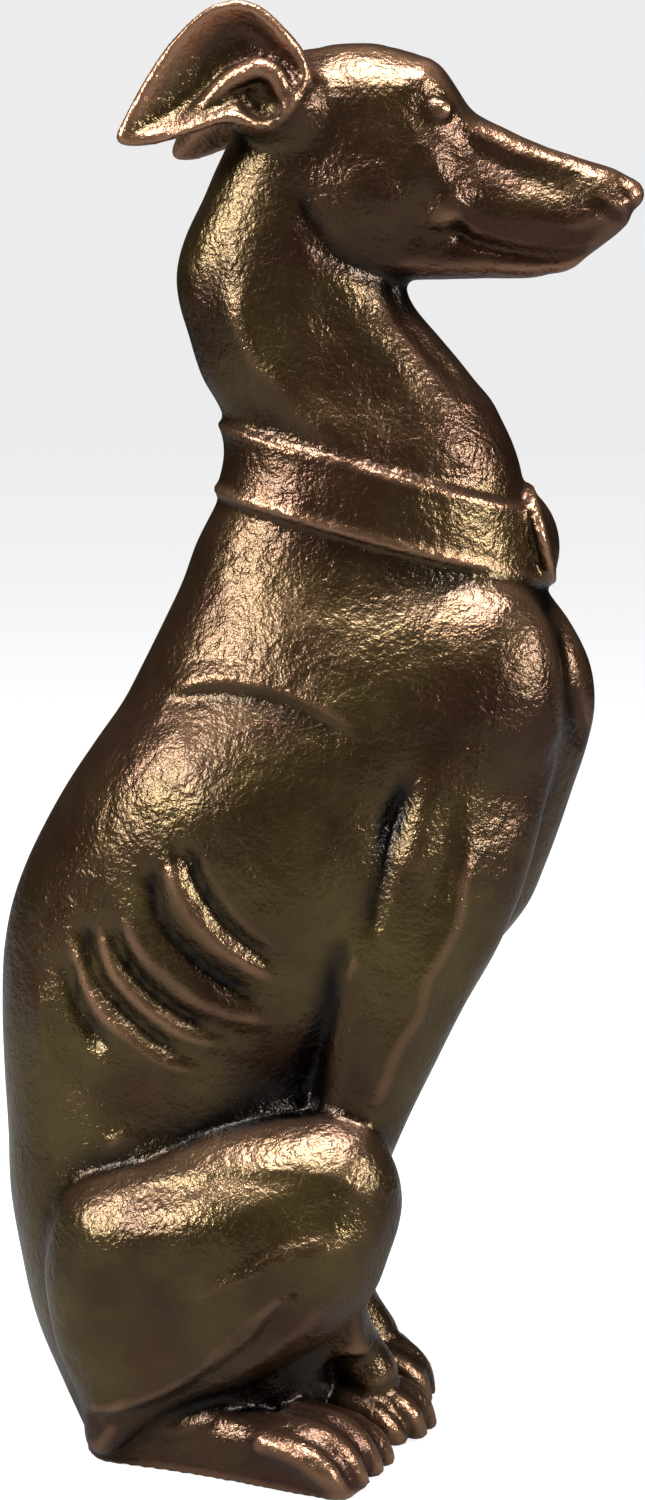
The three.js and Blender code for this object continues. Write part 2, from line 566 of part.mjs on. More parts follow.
function ear(x, y, z) {
  const edge = earEdge(x, z);
  const inwards = Math.max(-edge, 0);
  const sink = 9 * (1 - bell(inwards / 6.5)) * (0.35 + 0.65 * clamp01((x + 60) / 26));
  const middle = 33.5 - (x + 10) * 0.1 - THREE.MathUtils.clamp(x + 8, 0, 20) * 0.45 - sink;
  const front = y - (middle + 2.6 + bell((inwards - 2.2) / 2.2));
  const back = middle - (3.1 + 1.2 * clamp01(inwards / 8)) - y;
  return -joined(-Math.max(front, back) * 0.85, -edge, 2.8);
}

function head() {
  const low = [-62, -60, 385];
  const high = [116, 60, 496];
  const put = (form, soft) => add(onHead(form), soft, low, high);
  put(skull, 6);
  put(oval([92, 0, 425.5], [10.4, 8.8, 10.4], 12), 4);
  put(oval([101.6, 0, 428.4], [5.8, 6, 5.4]), 1.2);
  put(oval([15, 10.5, 427], [19, 14, 18]), 5); // cheek
  put(oval([43, 10.6, 424.5], [10.5, 8, 6.2], -40), 3); // cheekbone
  cut(onHead(oval([42.5, 24, 453.5], [9.5, 7.6, 7.5], -25)), 4, low, high); // eye socket
  put(oval([41.2, 14.2, 454.9], [4.5, 3.4, 2.9], -12), 0.6); // eye
  const mouth = [
    [45.5, 417.2], [47.5, 416], [50.8, 413.7], [62.3, 410.3], [74.9, 408.5], [83.7, 408.3], [91, 410.6],
  ];
  const forms = [
    line(mouth, 1.8, 2.2, 0.08),
    fold(mouth, 1, 0.8, 4, 0.12),
    dent(47.6, 415.8, 2.4, 2.2, 2),
    dent(88, 417.4, 7, 4, -1.3),
    line([[90, 425], [95, 423.6], [101, 420.2]], 1.6, 1.3, 0.25),
    line([[-5, 437], [-2, 424], [5, 412], [15, 404], [28, 400]], 4, 1.6, 0.25),
    line([[47, 447], [56, 440], [70, 434], [84, 429]], 4.5, 1, 0.3),
  ];
  for (const form of forms) {
    press(onHead((x, y, z) => form(x, y, z) * clamp01(y / 4)), [-20, -40, 395], [112, 40, 465]);
  }
}

function ears() {
  const low = [-80, -75, 430];
  const high = [24, 75, HEIGHT + 9];
  add(onHead(oval([-9, 20, 457], [12, 12, 12], 18)), 9, low, high);
  add(onHead(oval([-18, 27, 453], [9, 8, 6.5], 12)), 5, low, high);
  // The left ear is laid a little further back than the right one.
  const pair = (x, y, z) => {
    const [hx, hy] = toHead(x, y);
    if (hy < 0) return ear(hx, -hy, z);
    return ear((hx + 56) / 0.82 - 56, hy, z + 1.5) * 0.9;
  };
  add(pair, 3, low, high);
  const fold = [
    [-38, 33, 452.5, 1.6], [-31, 32, 458.5, 2.6], [-24, 32, 464.5, 3.2], [-15, 32.5, 468, 3.6],
    [-9, 32, 465, 3.3],
    [-7.3, 31, 459, 2.8],
  ];
  add(onHead(limb(fold, 4)), 2.5, low, high);
  cut(onHead(oval([-14.5, 34, 456.5], [7.5, 6, 5], 25)), 2, low, high);
}

// ---- Collar and medallion -----------------------------------------------------------------------

function collar() {
  const [lean, rise] = [Math.sin(COLLAR.tilt), Math.cos(COLLAR.tilt)];
  work([-60, -60, 285], [100, 60, 375], (f, x, y, z) => {
    const over = (x - COLLAR.middle.x) * lean + (z - COLLAR.middle.z) * rise;
    const neck = trunk(x, y, z);
    const band = -joined(COLLAR_PROUD - neck, COLLAR_WIDTH / 2 - Math.abs(over), 1.4);
    const welt = Math.hypot(neck - 1.6, over + COLLAR_WIDTH / 2 + 1.8) - 1.9;
    return joined(joined(f, band, 0.8), welt, 1.2);
  });
}

function medallion() {
  const [c, s] = [Math.cos(MEDALLION.tilt), Math.sin(MEDALLION.tilt)];
  const form = (x, y, z) => {
    const [dx, dz] = [x - MEDALLION.middle.x, z - MEDALLION.middle.z];
    const out = dx * c + dz * s;
    const away = Math.hypot(-dx * s + dz * c, y);
    const disc = -joined(MEDALLION.radius - away, MEDALLION.half - Math.abs(out), 1.5);
    const ball = Math.hypot(away, out + MEDALLION.domeSunk) - MEDALLION.domeRadius;
    const dome = Math.max(ball, away - MEDALLION.domeWide);
    return Math.min(disc, dome);
  };
  add(form, 0.8, [50, -40, 285], [100, 40, 345]);
}

// ---- Skin: a mesh of the surface where the distance is zero, by marching cubes ------------------

// Corners of a cell and the edges between them, in the order of three.js's table.
const CORNERS = [[0, 0, 0], [1, 0, 0], [1, 1, 0], [0, 1, 0], [0, 0, 1], [1, 0, 1], [1, 1, 1], [0, 1, 1]];
const EDGES = [[0, 1], [1, 2], [3, 2], [0, 3], [4, 5], [5, 6], [7, 6], [4, 7], [0, 4], [1, 5], [2, 6],
  [3, 7]];

function skin() {
  const vertexOf = new Map();
  const places = [];
  const faces = [];
  // The vertex on one edge of the block, made when a cell first asks for it.
  const vertex = (i, j, k, edge) => {
    const [from, to] = EDGES[edge].map((corner) => CORNERS[corner]);
    const start = at(i + from[0], j + from[1], k + from[2]);
    const end = at(i + to[0], j + to[1], k + to[2]);
    const key = `${start} ${end}`;
    if (!vertexOf.has(key)) {
      const t = THREE.MathUtils.clamp(clay[start] / (clay[start] - clay[end]), 0.03, 0.97);
      const place = new THREE.Vector3(...from).lerp(new THREE.Vector3(...to), t).add({ x: i, y: j, z: k });
      vertexOf.set(key, places.length);
      places.push(place.multiplyScalar(CELL).add(BLOCK_LOW));
    }
    return vertexOf.get(key);
  };
  for (let k = 0; k < NZ - 1; k++) {
    for (let j = 0; j < NY - 1; j++) {
      for (let i = 0; i < NX - 1; i++) {
        let pattern = 0;
        CORNERS.forEach(([a, b, c], bit) => {
          if (clay[at(i + a, j + b, k + c)] < 0) pattern |= 1 << bit;
        });
        for (let n = pattern * 16; triTable[n] >= 0; n += 3) {
          faces.push([2, 1, 0].map((corner) => vertex(i, j, k, triTable[n + corner])));
        }
      }
    }
  }
  return { places, faces };
}

// ---- Thinning: edges are folded away, the least telling first -----------------------------------

// How far a point is from the planes of the faces round a vertex, squared, kept as ten sums.
function planeSums(a, b, c) {
  const normal = new THREE.Vector3().crossVectors(b.clone().sub(a), c.clone().sub(a));
  const area = normal.length() / 2;
  if (area < 1e-12) return new Float64Array(10);
  normal.normalize();
  const [x, y, z] = normal.toArray();
  const d = -normal.dot(a);
  const terms = [x * x, x * y, x * z, x * d, y * y, y * z, y * d, z * z, z * d, d * d];
  return new Float64Array(terms.map((v) => v * area));
}

const summed = (p, q) => p.map((v, i) => v + q[i]);

function offPlanes(q, { x, y, z }) {
  const squares = q[0] * x * x + q[4] * y * y + q[7] * z * z + q[9];
  return squares + 2 * (q[1] * x * y + q[2] * x * z + q[3] * x + q[5] * y * z + q[6] * y + q[8] * z);
}

// The best place for the vertex that takes the place of the two ends of an edge.
function meeting(q, a, b) {
  const middle = a.clone().lerp(b, 0.5);
  const spots = [middle, a, b];
  const system = new THREE.Matrix3().set(q[0], q[1], q[2], q[1], q[4], q[5], q[2], q[5], q[7]);
  const size = q[0] + q[4] + q[7];
  if (Math.abs(system.determinant()) > 1e-5 * size ** 3) {
    const best = new THREE.Vector3(-q[3], -q[6], -q[8]).applyMatrix3(system.invert());
    if (best.distanceTo(middle) < a.distanceTo(b)) spots.unshift(best);
  }
  const costs = spots.map((spot) => offPlanes(q, spot));
  const lowest = Math.min(...costs);
  return {
    cost: Math.max(lowest, 0) + 2e-4 * a.distanceToSquared(b),
    place: spots[costs.indexOf(lowest)].clone(),
  };
}

// A queue that gives back its cheapest entry first.
class Queue {
  entries = [];

  push(entry) {
    const list = this.entries;
    let i = list.push(entry) - 1;
    while (i > 0 && list[(i - 1) >> 1].cost > entry.cost) {
      list[i] = list[(i - 1) >> 1];
      i = (i - 1) >> 1;
    }
    list[i] = entry;
  }

  pop() {
    const list = this.entries;
    const first = list[0];
    const entry = list.pop();
    if (list.length === 0) return first;
    let i = 0;
    for (;;) {
      let child = 2 * i + 1;
      if (child >= list.length) break;
      if (child + 1 < list.length && list[child + 1].cost < list[child].cost) child++;
      if (list[child].cost >= entry.cost) break;
      list[i] = list[child];
      i = child;
    }
    list[i] = entry;
    return first;
  }
}

// Folds edges away until `target` faces are left. The mesh stays closed, and no face turns over.
function thinned({ places, faces }, target) {
  const around = places.map(() => new Set());
  let sums = places.map(() => new Float64Array(10));
  faces.forEach((face, f) => {
    const plane = planeSums(...face.map((v) => places[v]));
    for (const v of face) {
      around[v].add(f);
      sums[v] = summed(sums[v], plane);
    }
  });
  const stamp = new Int32Array(places.length);
  const queue = new Queue();
  const neighbours = (v) => {
    const found = new Set();
    for (const f of around[v]) for (const w of faces[f]) if (w !== v) found.add(w);
    return found;
  };
  const offer = (a, b) => {
    const { cost, place } = meeting(summed(sums[a], sums[b]), places[a], places[b]);
    queue.push({ cost, place, a, b, stamps: stamp[a] + stamp[b] });
  };
  const turnsOver = (v, gone, place) => {
    for (const f of around[v]) {
      if (faces[f].includes(gone)) continue;
      const old = faces[f].map((w) => places[w]);
      const moved = faces[f].map((w) => (w === v ? place : places[w]));
      const [before, after] = [old, moved].map(([a, b, c]) =>
        new THREE.Vector3().crossVectors(b.clone().sub(a), c.clone().sub(a)),
      );
      if (after.length() < 1e-3 || before.dot(after) < 0.25 * before.length() * after.length()) return true;
    }
    return false;
  };
  places.forEach((_, v) => neighbours(v).forEach((w) => w > v && offer(v, w)));
  let left = faces.length;
  while (left > target && queue.entries.length > 0) {
    const { a, b, place, stamps } = queue.pop();
    if (!around[a] || !around[b] || stamps !== stamp[a] + stamp[b]) continue;
    const near = neighbours(a);
    if (!near.has(b)) continue;
    const shared = [...neighbours(b)].filter((w) => near.has(w));
    if (shared.length !== 2 || turnsOver(a, b, place) || turnsOver(b, a, place)) continue;
    places[a] = place;
    sums[a] = summed(sums[a], sums[b]);
    for (const f of around[b]) {
      if (faces[f].includes(a)) {
        for (const w of faces[f]) around[w] && around[w].delete(f);
        faces[f] = null;
        left--;
      } else {
        faces[f] = faces[f].map((w) => (w === b ? a : w));
        around[a].add(f);
      }
    }
    around[b] = null;
    stamp[a]++;
    neighbours(a).forEach((w) => {
      stamp[w]++;
    });
    const ring = new Set([a, ...neighbours(a)]);
    for (const v of ring) for (const w of neighbours(v)) if (!ring.has(w) || w > v) offer(v, w);
  }
  return { places, faces: faces.filter(Boolean) };
}

// ---- The casting --------------------------------------------------------------------------------

function casting() {
  body();
  flanks();
  hindLegs();
  forelegMuscles();
  neckMuscles();
  head();
  ears();
  collar();
  medallion();
  frontPaws();
  tail();
  smoothed();
  // The underside is flat.
  work(WHOLE_LOW, WHOLE_HIGH, (f, x, y, z) => Math.max(f, -z));
  oneBody();
  const { places, faces } = thinned(skin(), TRIANGLES);
  for (const place of places) if (place.z < 0.2) place.z = 0;
  const corners = new Float32Array(faces.flat().flatMap((v) => places[v].toArray()));
  const geometry = new THREE.BufferGeometry();
  geometry.setAttribute("position", new THREE.BufferAttribute(corners, 3));
  geometry.computeVertexNormals();
  return geometry;
}

const castIron = new THREE.MeshStandardMaterial({ color: 0x3a2a1c, roughness: 0.38, metalness: 0.85 });
const dog = new THREE.Mesh(casting(), castIron);
dog.name = "dog_casting";

const statue = new THREE.Group();
statue.add(dog);

export default statue;
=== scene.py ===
# A seated greyhound in cast iron, one casting with its collar and medallion, under a bronzed patina.
# It faces +X, its right side is -Y, and it stands on z = 0. Forms are in millimetres.

import math

import bpy
import numpy as np
import openvdb
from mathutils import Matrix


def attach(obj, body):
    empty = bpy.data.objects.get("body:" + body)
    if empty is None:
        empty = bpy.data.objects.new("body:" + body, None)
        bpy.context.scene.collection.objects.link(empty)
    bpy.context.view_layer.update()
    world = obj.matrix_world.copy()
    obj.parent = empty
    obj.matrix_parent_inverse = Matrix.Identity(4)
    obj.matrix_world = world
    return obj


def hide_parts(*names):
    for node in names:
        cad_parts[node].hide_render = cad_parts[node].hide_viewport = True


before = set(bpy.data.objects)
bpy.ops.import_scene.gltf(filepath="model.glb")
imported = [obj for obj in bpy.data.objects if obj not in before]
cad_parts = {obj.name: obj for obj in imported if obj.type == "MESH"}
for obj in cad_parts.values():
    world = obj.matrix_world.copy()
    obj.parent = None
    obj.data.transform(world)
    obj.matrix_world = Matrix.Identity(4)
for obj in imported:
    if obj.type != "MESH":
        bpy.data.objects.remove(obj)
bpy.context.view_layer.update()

# ---- Trunk, rib cage and shoulders ---------------------------------------------------------------
# The body: one tall trunk, with the rib cage, the shoulder blades and the upper arms joined to it. The
# dog is worked in one block of space, as in clay: each point holds its distance to the surface, less
# than zero inside, and forms are added, cut and pressed with soft joins.

MM = 1000
CELL = 1.5
FAR_OFF = 60
BLOCK_LOW = (-117.5, -88.0, -4.5)
BLOCK_HIGH = (112.0, 91.0, 495.0)
ALL = (BLOCK_LOW, BLOCK_HIGH)
AXES = [np.arange(low, high, CELL, dtype=np.float32) for low, high in zip(*ALL)]
clay = np.full([len(axis) for axis in AXES], FAR_OFF, np.float32)

# Height, back, front, half width, how far the front draws in to a keel.
TRUNK = [
    (-6, -82, 8, 45, 0), (2, -85, 8, 47, 0), (20, -92.5, 8, 50, 0), (43, -101.3, 8, 53, 0),
    (65, -106, 8, 53, 0), (87, -109.4, 10, 51, 0), (109, -110, 15, 49, 0), (130, -111, 24, 49, 0.05),
    (152, -111.4, 40, 49.5, 0.1), (174, -110.2, 60, 50.5, 0.18), (188, -107.4, 71, 52, 0.25),
    (202, -102.4, 77, 53, 0.32), (216, -95.6, 82, 53.5, 0.38), (230, -87.6, 86.5, 53, 0.44),
    (244, -78.2, 91, 52, 0.48), (258, -68.4, 93.2, 50, 0.46), (272, -61, 91.2, 47, 0.38),
    (286, -54, 84.2, 43, 0.28), (299, -47.8, 75, 39, 0.18), (313, -42.6, 70.5, 35.5, 0.12),
    (326, -36, 68.5, 33.5, 0.1), (338, -31, 67, 32, 0.1), (347, -30.6, 64, 31, 0.1),
    (354, -32.8, 60.6, 30.3, 0.1), (361, -36.2, 56.8, 29.5, 0.1), (367, -39.9, 51.6, 29, 0.1),
    (374, -42.6, 46, 28.6, 0.1), (381, -44.6, 40, 28, 0.1), (394, -48.3, 29.5, 27, 0.1),
    (401, -49, 27, 26.5, 0.05), (407, -48.3, 25, 26, 0.05), (414, -46.2, 22, 25.5, 0),
    (427, -40, 17, 24, 0), (443, -32.4, 10, 21, 0), (452, -26, 2, 16, 0),
]
# Foreleg up into the shoulder: height, back, front, half width, keel, distance off centre.
FORELEG = [
    (34, -1, 17, 9, 0, 22), (46, -1, 15, 9.5, 0, 23), (60, -3, 15, 10.5, 0, 25.5),
    (80, -5.5, 17.5, 12.5, 0.05, 29), (104, -7, 23.5, 15, 0.15, 31.5), (118, -6, 29, 16.5, 0.2, 33),
    (139, -1, 38.5, 18.5, 0.25, 34.5), (160, 4, 48.5, 20.5, 0.3, 35), (181, 9, 60, 22, 0.35, 34.5),
    (196, 13, 66.5, 22.5, 0.4, 33), (214, 17, 72, 21.5, 0.4, 31), (235, 20, 76, 18.5, 0.4, 27),
    (262, 28, 76, 12, 0.4, 18),
]


def through(rows, t):
    """Smooth curves through rows of (t, value, ...): cubics with parabola slopes; level beyond."""
    rows = np.array(rows, float)
    knots, values = rows[:, 0], rows[:, 1:]
    slopes = np.gradient(values, knots, axis=0)
    t = np.clip(t, knots[0], knots[-1])
    i = np.clip(np.searchsorted(knots, t, side="right") - 1, 0, len(knots) - 2)
    span = knots[i + 1] - knots[i]
    s = (t - knots[i]) / span
    near, far = (1 + 2 * s) * (1 - s) ** 2, s * s * (3 - 2 * s)
    leave, arrive = s * (1 - s) ** 2 * span, s * s * (s - 1) * span
    return [
        np.float32(near * v[i] + far * v[i + 1] + leave * m[i] + arrive * m[i + 1])
        for v, m in zip(values.T, slopes.T)
    ]


def refine(rows, steps):
    """The rows resampled along a smooth line through them, `steps` pieces between each pair."""
    numbered = np.column_stack([np.arange(len(rows)), np.array(rows, float)])
    return np.stack(through(numbered, np.linspace(0, len(rows) - 1, (len(rows) - 1) * steps + 1)), -1)


def clamp01(value):
    """The value held between 0 and 1."""
    return np.clip(value, 0, 1)


def ease(value):
    """0 to 1 with a slow start and end: 3v^2 - 2v^3."""
    value = clamp01(value)
    return value * value * (3 - 2 * value)


def bell(value):
    """exp(-v^2): 1 in the middle, gone by about 2."""
    return np.exp(-value * value)


def joined(a, b, soft):
    """The nearer of two surfaces; where they are within `soft` of each other the corner is filled."""
    h = np.maximum(soft - np.abs(a - b), 0) / soft
    return np.minimum(a, b) - h * h * soft / 4


def region(low, high):
    """The part of the block between two corners, and its x, y and z as arrays that broadcast."""
    cuts = tuple(slice(*np.searchsorted(axis, ends)) for axis, *ends in zip(AXES, low, high))
    x, y, z = (axis[cut] for axis, cut in zip(AXES, cuts))
    return cuts, x[:, None, None], y[None, :, None], z[None, None, :]


def add(form, soft, low, high):
    """Joins a form to the clay."""
    cuts, x, y, z = region(low, high)
    clay[cuts] = joined(clay[cuts], form(x, y, z), soft)


def cut(form, soft, low, high):
    """Takes a form out of the clay."""
    cuts, x, y, z = region(low, high)
    clay[cuts] = -joined(-clay[cuts], form(x, y, z), soft)


def press(depth, low, high):
    """Sinks the surface by a depth that depends on place; less than zero raises it."""
    cuts, x, y, z = region(low, high)
    clay[cuts] += depth(x, y, z)


def both(form):
    """The same form on both flanks."""
    return lambda x, y, z: form(x, np.abs(y), z)


def add_pair(form, soft, low, high):
    """Joins a form to both flanks; the corners are those of the left one."""
    add(both(form), soft, (low[0], min(low[1], -high[1]), low[2]), high)


def press_pair(depth, low, high):
    """Presses both flanks; the corners are those of the left one."""
    press(depth, low, high)
    mirror = ((low[0], -high[1], low[2]), (high[0], -low[1], high[2]))
    press(both(depth), *mirror)


SLANT = 0.93  # the walls lean, so a level distance is a little more than the true one


def column(rows, power):
    """Sliced by height: |u|^p + |v|^p = 1, with u across the back and front and v across the width."""

    def form(x, y, z):
        back, front, half, keel, *aside = through(rows, z)
        dx, dy = x - (back + front) / 2, y - (aside[0] if aside else 0)
        u = dx / ((front - back) / 2)
        wide = np.maximum(half * (1 - keel * np.clip(u, 0, 2) ** 1.3), 4)
        q = (np.abs(u) ** power + (np.abs(dy) / wide) ** power) ** (1 / power) + 1e-6
        side = np.hypot(dx, dy) * (1 - 1 / q)
        return np.maximum(side, np.maximum(z - rows[-1][0], rows[0][0] - z)) * SLANT

    return form


def oval(centre, radii, turn=0, axis="y"):
    """An ellipsoid turned by degrees about y or z: k0 (k0 - 1) / k1, with k0 the length of the place
    divided by the radii, and k1 that of the place divided by their squares."""
    c, s = math.cos(math.radians(turn)), math.sin(math.radians(turn))

    def form(x, y, z):
        x, y, z = x - centre[0], y - centre[1], z - centre[2]
        if axis == "y":
            x, z = x * c - z * s, x * s + z * c
        else:
            x, y = x * c + y * s, -x * s + y * c
        k0 = np.sqrt((x / radii[0]) ** 2 + (y / radii[1]) ** 2 + (z / radii[2]) ** 2) + 1e-6
        k1 = 1e-9 + np.sqrt(
            (x / radii[0] ** 2) ** 2 + (y / radii[1] ** 2) ** 2 + (z / radii[2] ** 2) ** 2
        )
        return k0 * (k0 - 1) / k1

    return form


def limb(rows, steps):
    """A chain of round cones along a smooth line through rows of (x, y, z, radius)."""
    points = refine(rows, steps)

    def form(x, y, z):
        best = np.float32(1e3)
        for a, b in zip(points[:-1], points[1:]):
            d = b[:3] - a[:3]
            s = clamp01(((x - a[0]) * d[0] + (y - a[1]) * d[1] + (z - a[2]) * d[2]) / (d @ d))
            away = np.sqrt(
                (x - a[0] - s * d[0]) ** 2 + (y - a[1] - s * d[1]) ** 2 + (z - a[2] - s * d[2]) ** 2
            )
            best = np.minimum(best, away - a[3] - s * (b[3] - a[3]))
        return best

    return form


def nearest(path, x, z):
    """In the side view: distance to a line, how far along it from 0 to 1, and 1 on its left, -1 right."""
    best, along, left = np.float32(1e3), np.float32(0), np.float32(1)
    count = len(path) - 1
    for i in range(count):
        a, d = path[i], path[i + 1] - path[i]
        s = clamp01(((x - a[0]) * d[0] + (z - a[1]) * d[1]) / (d @ d))
        away = np.hypot(x - a[0] - s * d[0], z - a[1] - s * d[1])
        along = np.where(away < best, (i + s) / count, along)
        left = np.where(away < best, np.sign(d[0] * (z - a[1]) - d[1] * (x - a[0])), left)
        best = np.minimum(best, away)
    return best, along, left


END_DEPTH = 0.15  # a pressed line keeps this share of its depth at its very ends
STEP_WIDTH = 0.8


def line(points, width, depth, ends):
    """Depth of a pressed line: depth exp(-(distance / width)^2), fading over `ends` of its length."""
    path = refine(points, 4)

    def form(x, y, z):
        away, along, _ = nearest(path, x, z)
        fading = ease(np.minimum(along, 1 - along) / ends)
        return depth * bell(away / width) * (END_DEPTH + (1 - END_DEPTH) * fading)

    return form


def fold(points, rise, sink, reach, ends):
    """A step along a line: raised on its left, sunk on its right, both dying away over `reach`."""
    path = refine(points, 4)

    def form(x, y, z):
        away, along, left = nearest(path, x, z)
        over = away * left
        upper = 1 / (1 + np.exp(-over / STEP_WIDTH))
        step = upper * rise * np.exp(-np.maximum(over, 0) / reach)
        step = step - (1 - upper) * sink * np.exp(-np.maximum(-over, 0) / reach)
        return -step * ease(np.minimum(along, 1 - along) / ends)

    return form


def dent(x0, z0, wide, high, depth):
    """A soft hollow, or with a depth less than zero a mound: depth exp(-(distance / size)^2)."""
    return lambda x, y, z: depth * bell(np.hypot((x - x0) / wide, (z - z0) / high))


trunk = column(TRUNK, 2.3)
add(trunk, 1e-3, *ALL)
add_pair(oval((-14, 24, 205), (62, 32, 62), -28), 16, (-115, 0, 100), (90, 80, 300))
add_pair(oval((28, 27, 254), (48, 22, 34), -28), 16, (-40, 0, 190), (110, 70, 330))
add_pair(oval((57, 28, 258), (23, 16.5, 40), 8), 14, (10, 0, 190), (110, 70, 330))
add_pair(column(FORELEG, 2.6), 6, (-40, 0, 26), (110, 80, 262))
UPPER_ARM = [(50, 32, 256, 13), (40, 37, 230, 14.5), (31, 40, 208, 14), (23, 41, 190, 12)]
add_pair(limb(UPPER_ARM, 5), 9, (0, 0, 150), (110, 80, 300))
add_pair(oval((4, 34, 214), (22, 16, 30), -10), 10, (-40, 0, 150), (110, 80, 300))
add_pair(oval((14, 46, 181), (8.5, 7.5, 12), -8), 5, (-10, 10, 150), (50, 80, 210))

# The shoulder blade ends in a step; each rib is a ridge with a furrow above it; the belly is drawn in.
BLADE_EDGE = [
    (-52, 263), (-46, 265.7), (-36, 268), (-26, 268), (-13, 266), (-2, 262), (8, 256.5), (18, 249),
]
FURROWS = [
    [(-44, 217), (-42.8, 213.8), (-38.9, 204.4), (-31.1, 192.4), (-20.6, 183), (-9, 174.5)],
    [(-56, 210), (-54.7, 205.7), (-52.2, 193.6), (-44.4, 182.9), (-31.2, 172.1), (-15, 162.5)],
    [(-69, 192), (-65.7, 180.9), (-59.2, 170.1), (-47.3, 160.7), (-33, 153.5)],
    [(-79, 189), (-77.7, 183.6), (-73.8, 170), (-66, 160.5), (-55.4, 151.1), (-43, 144)],
    [(-85, 176), (-83.8, 171.3), (-80.6, 160.5), (-75.4, 152.3), (-70, 146)],
]
RIDGES = [
    [(-49, 213), (-48.1, 207.1), (-42.9, 196.4), (-33.8, 185.6), (-23.2, 179), (-9, 171)],
    [(-66.9, 200), (-61.7, 185), (-52.5, 175.6), (-39.3, 164.8), (-26.1, 159.5), (-12, 157)],
    [(-72.8, 191), (-70, 178), (-65.8, 170.8), (-55.3, 161.3), (-42.1, 152.5), (-24, 147)],
    [(-84.3, 184), (-79.1, 171.4), (-71.3, 159.1), (-60.7, 151), (-48.8, 142.9), (-32, 139)],
]
ON_FLANK = ((-112, 12, 96), (60, 80, 305))
for form in (
    fold(BLADE_EDGE, 1.7, 2.4, 10, 0.22),
    dent(-7, 285, 18, 12, -1.2),
    dent(-10, 197, 17, 16, -2),
    dent(-32, 231, 18, 14, -1.2),
    dent(-11, 133, 22, 15, 4),
    dent(-83, 137, 9, 16, 1.8),
    line([(-95, 172), (-94, 158), (-92.5, 144), (-87, 127)], 5, -1.4, 0.3),
    line([(-73, 111), (-68, 115.5), (-62, 119)], 2.4, -1.4, 0.35),
    line([(-66, 109.5), (-56, 113), (-44, 116.5)], 2.4, -1.4, 0.35),
    *(line(points, 3.1, 2.9, 0.18) for points in FURROWS),
    *(line(points, 4, -1.9, 0.18) for points in RIDGES),
):
    press_pair(lambda x, y, z: form(x, y, z) * clamp01((y - 12) / 14), *ON_FLANK)

# ---- Hind legs, forelegs and paws ----------------------------------------------------------------
# The hind legs are folded under the body: thigh and shin in one form with a true side outline, and the
# foot in another. Paws are modelled toe by toe. Muscles and folds are pressed in with a rounded tool.

HIND_LEG = [
    (-91, 84), (-87, 94), (-80, 101), (-69, 106), (-55, 111), (-39, 118), (-19, 122.5),
    (1, 124.5), (12, 123),
    (20, 117.5), (25.5, 109), (28, 98), (27, 88), (23.5, 77), (19.5, 66), (12.5, 56), (2, 46.5),
    (-9, 39),
    (-23, 32), (-39, 26), (-56, 16), (-66, 8), (-74, 4), (-79.5, 8), (-80.5, 16), (-83, 27),
    (-88, 39),
    (-91, 50), (-93, 65), (-92.5, 76),
]
HIND_FOOT = [
    (-81, 8), (-80, 16), (-66, 22), (-48, 23), (-30, 23), (-14, 22.5), (-4, 19.5), (4, 14),
    (9, 7), (10, -6),
    (-74, -6), (-80, 0),
]


def outline(points, steps=3):
    """Distance in the side view to a closed outline, less than zero inside: crossings are counted."""
    rim = refine([*points, points[0]], steps)

    def form(x, z):
        best, inside = np.float32(1e3), False
        for a, b in zip(rim[:-1], rim[1:]):
            d = b - a
            s = clamp01(((x - a[0]) * d[0] + (z - a[1]) * d[1]) / (d @ d))
            best = np.minimum(best, np.hypot(x - a[0] - s * d[0], z - a[1] - s * d[1]))
            if a[1] != b[1]:
                inside = inside ^ (((a[1] > z) != (b[1] > z)) & (x < a[0] + (z - a[1]) / d[1] * d[0]))
        return np.where(inside, -best, best)

    return form


def pillow(points, middle, half, soft_rim):
    """A side outline filled out to a half thickness, its rim an ellipse `soft_rim` deep."""
    edge = outline(points)

    def form(x, y, z):
        inwards = np.minimum(-edge(x, z), soft_rim)
        thick = half(x, z)
        q = np.hypot((soft_rim - inwards) / soft_rim, (y - middle(x)) / thick)
        return (q - 1) * np.minimum(soft_rim, thick) * 0.95

    return form


def thigh_half(x, z):
    """Half thickness of the hind leg, fullest in the middle of the thigh."""
    return 16 + 13.5 * np.exp(-(((x + 22) / 52) ** 2) - ((z - 82) / 40) ** 2)


def foot_half(x, z):
    """Half thickness of the hind foot, widening to the toes."""
    return through([(-80, 10), (-40, 9), (-5, 11.5), (20, 13.5)], x)[0]


LEFT_LEG_BACK = 3


def on_hind(work, form, *soft):
    """The same work on both hind legs; the left one is drawn a little further back."""
    work(lambda x, y, z: form(x, -y, z), *soft, (-120, -91, -9), (60, 0, 140))
    work(lambda x, y, z: form(x + LEFT_LEG_BACK, y, z), *soft, (-120, 0, -9), (60, 92, 140))


on_hind(add, pillow(HIND_LEG, lambda x: 44.5 + 0.05 * (x + 75), thigh_half, 24), 2.6)
on_hind(add, pillow(HIND_FOOT, lambda x: 33.5 + 0.36 * (x + 75), foot_half, 9), 3)

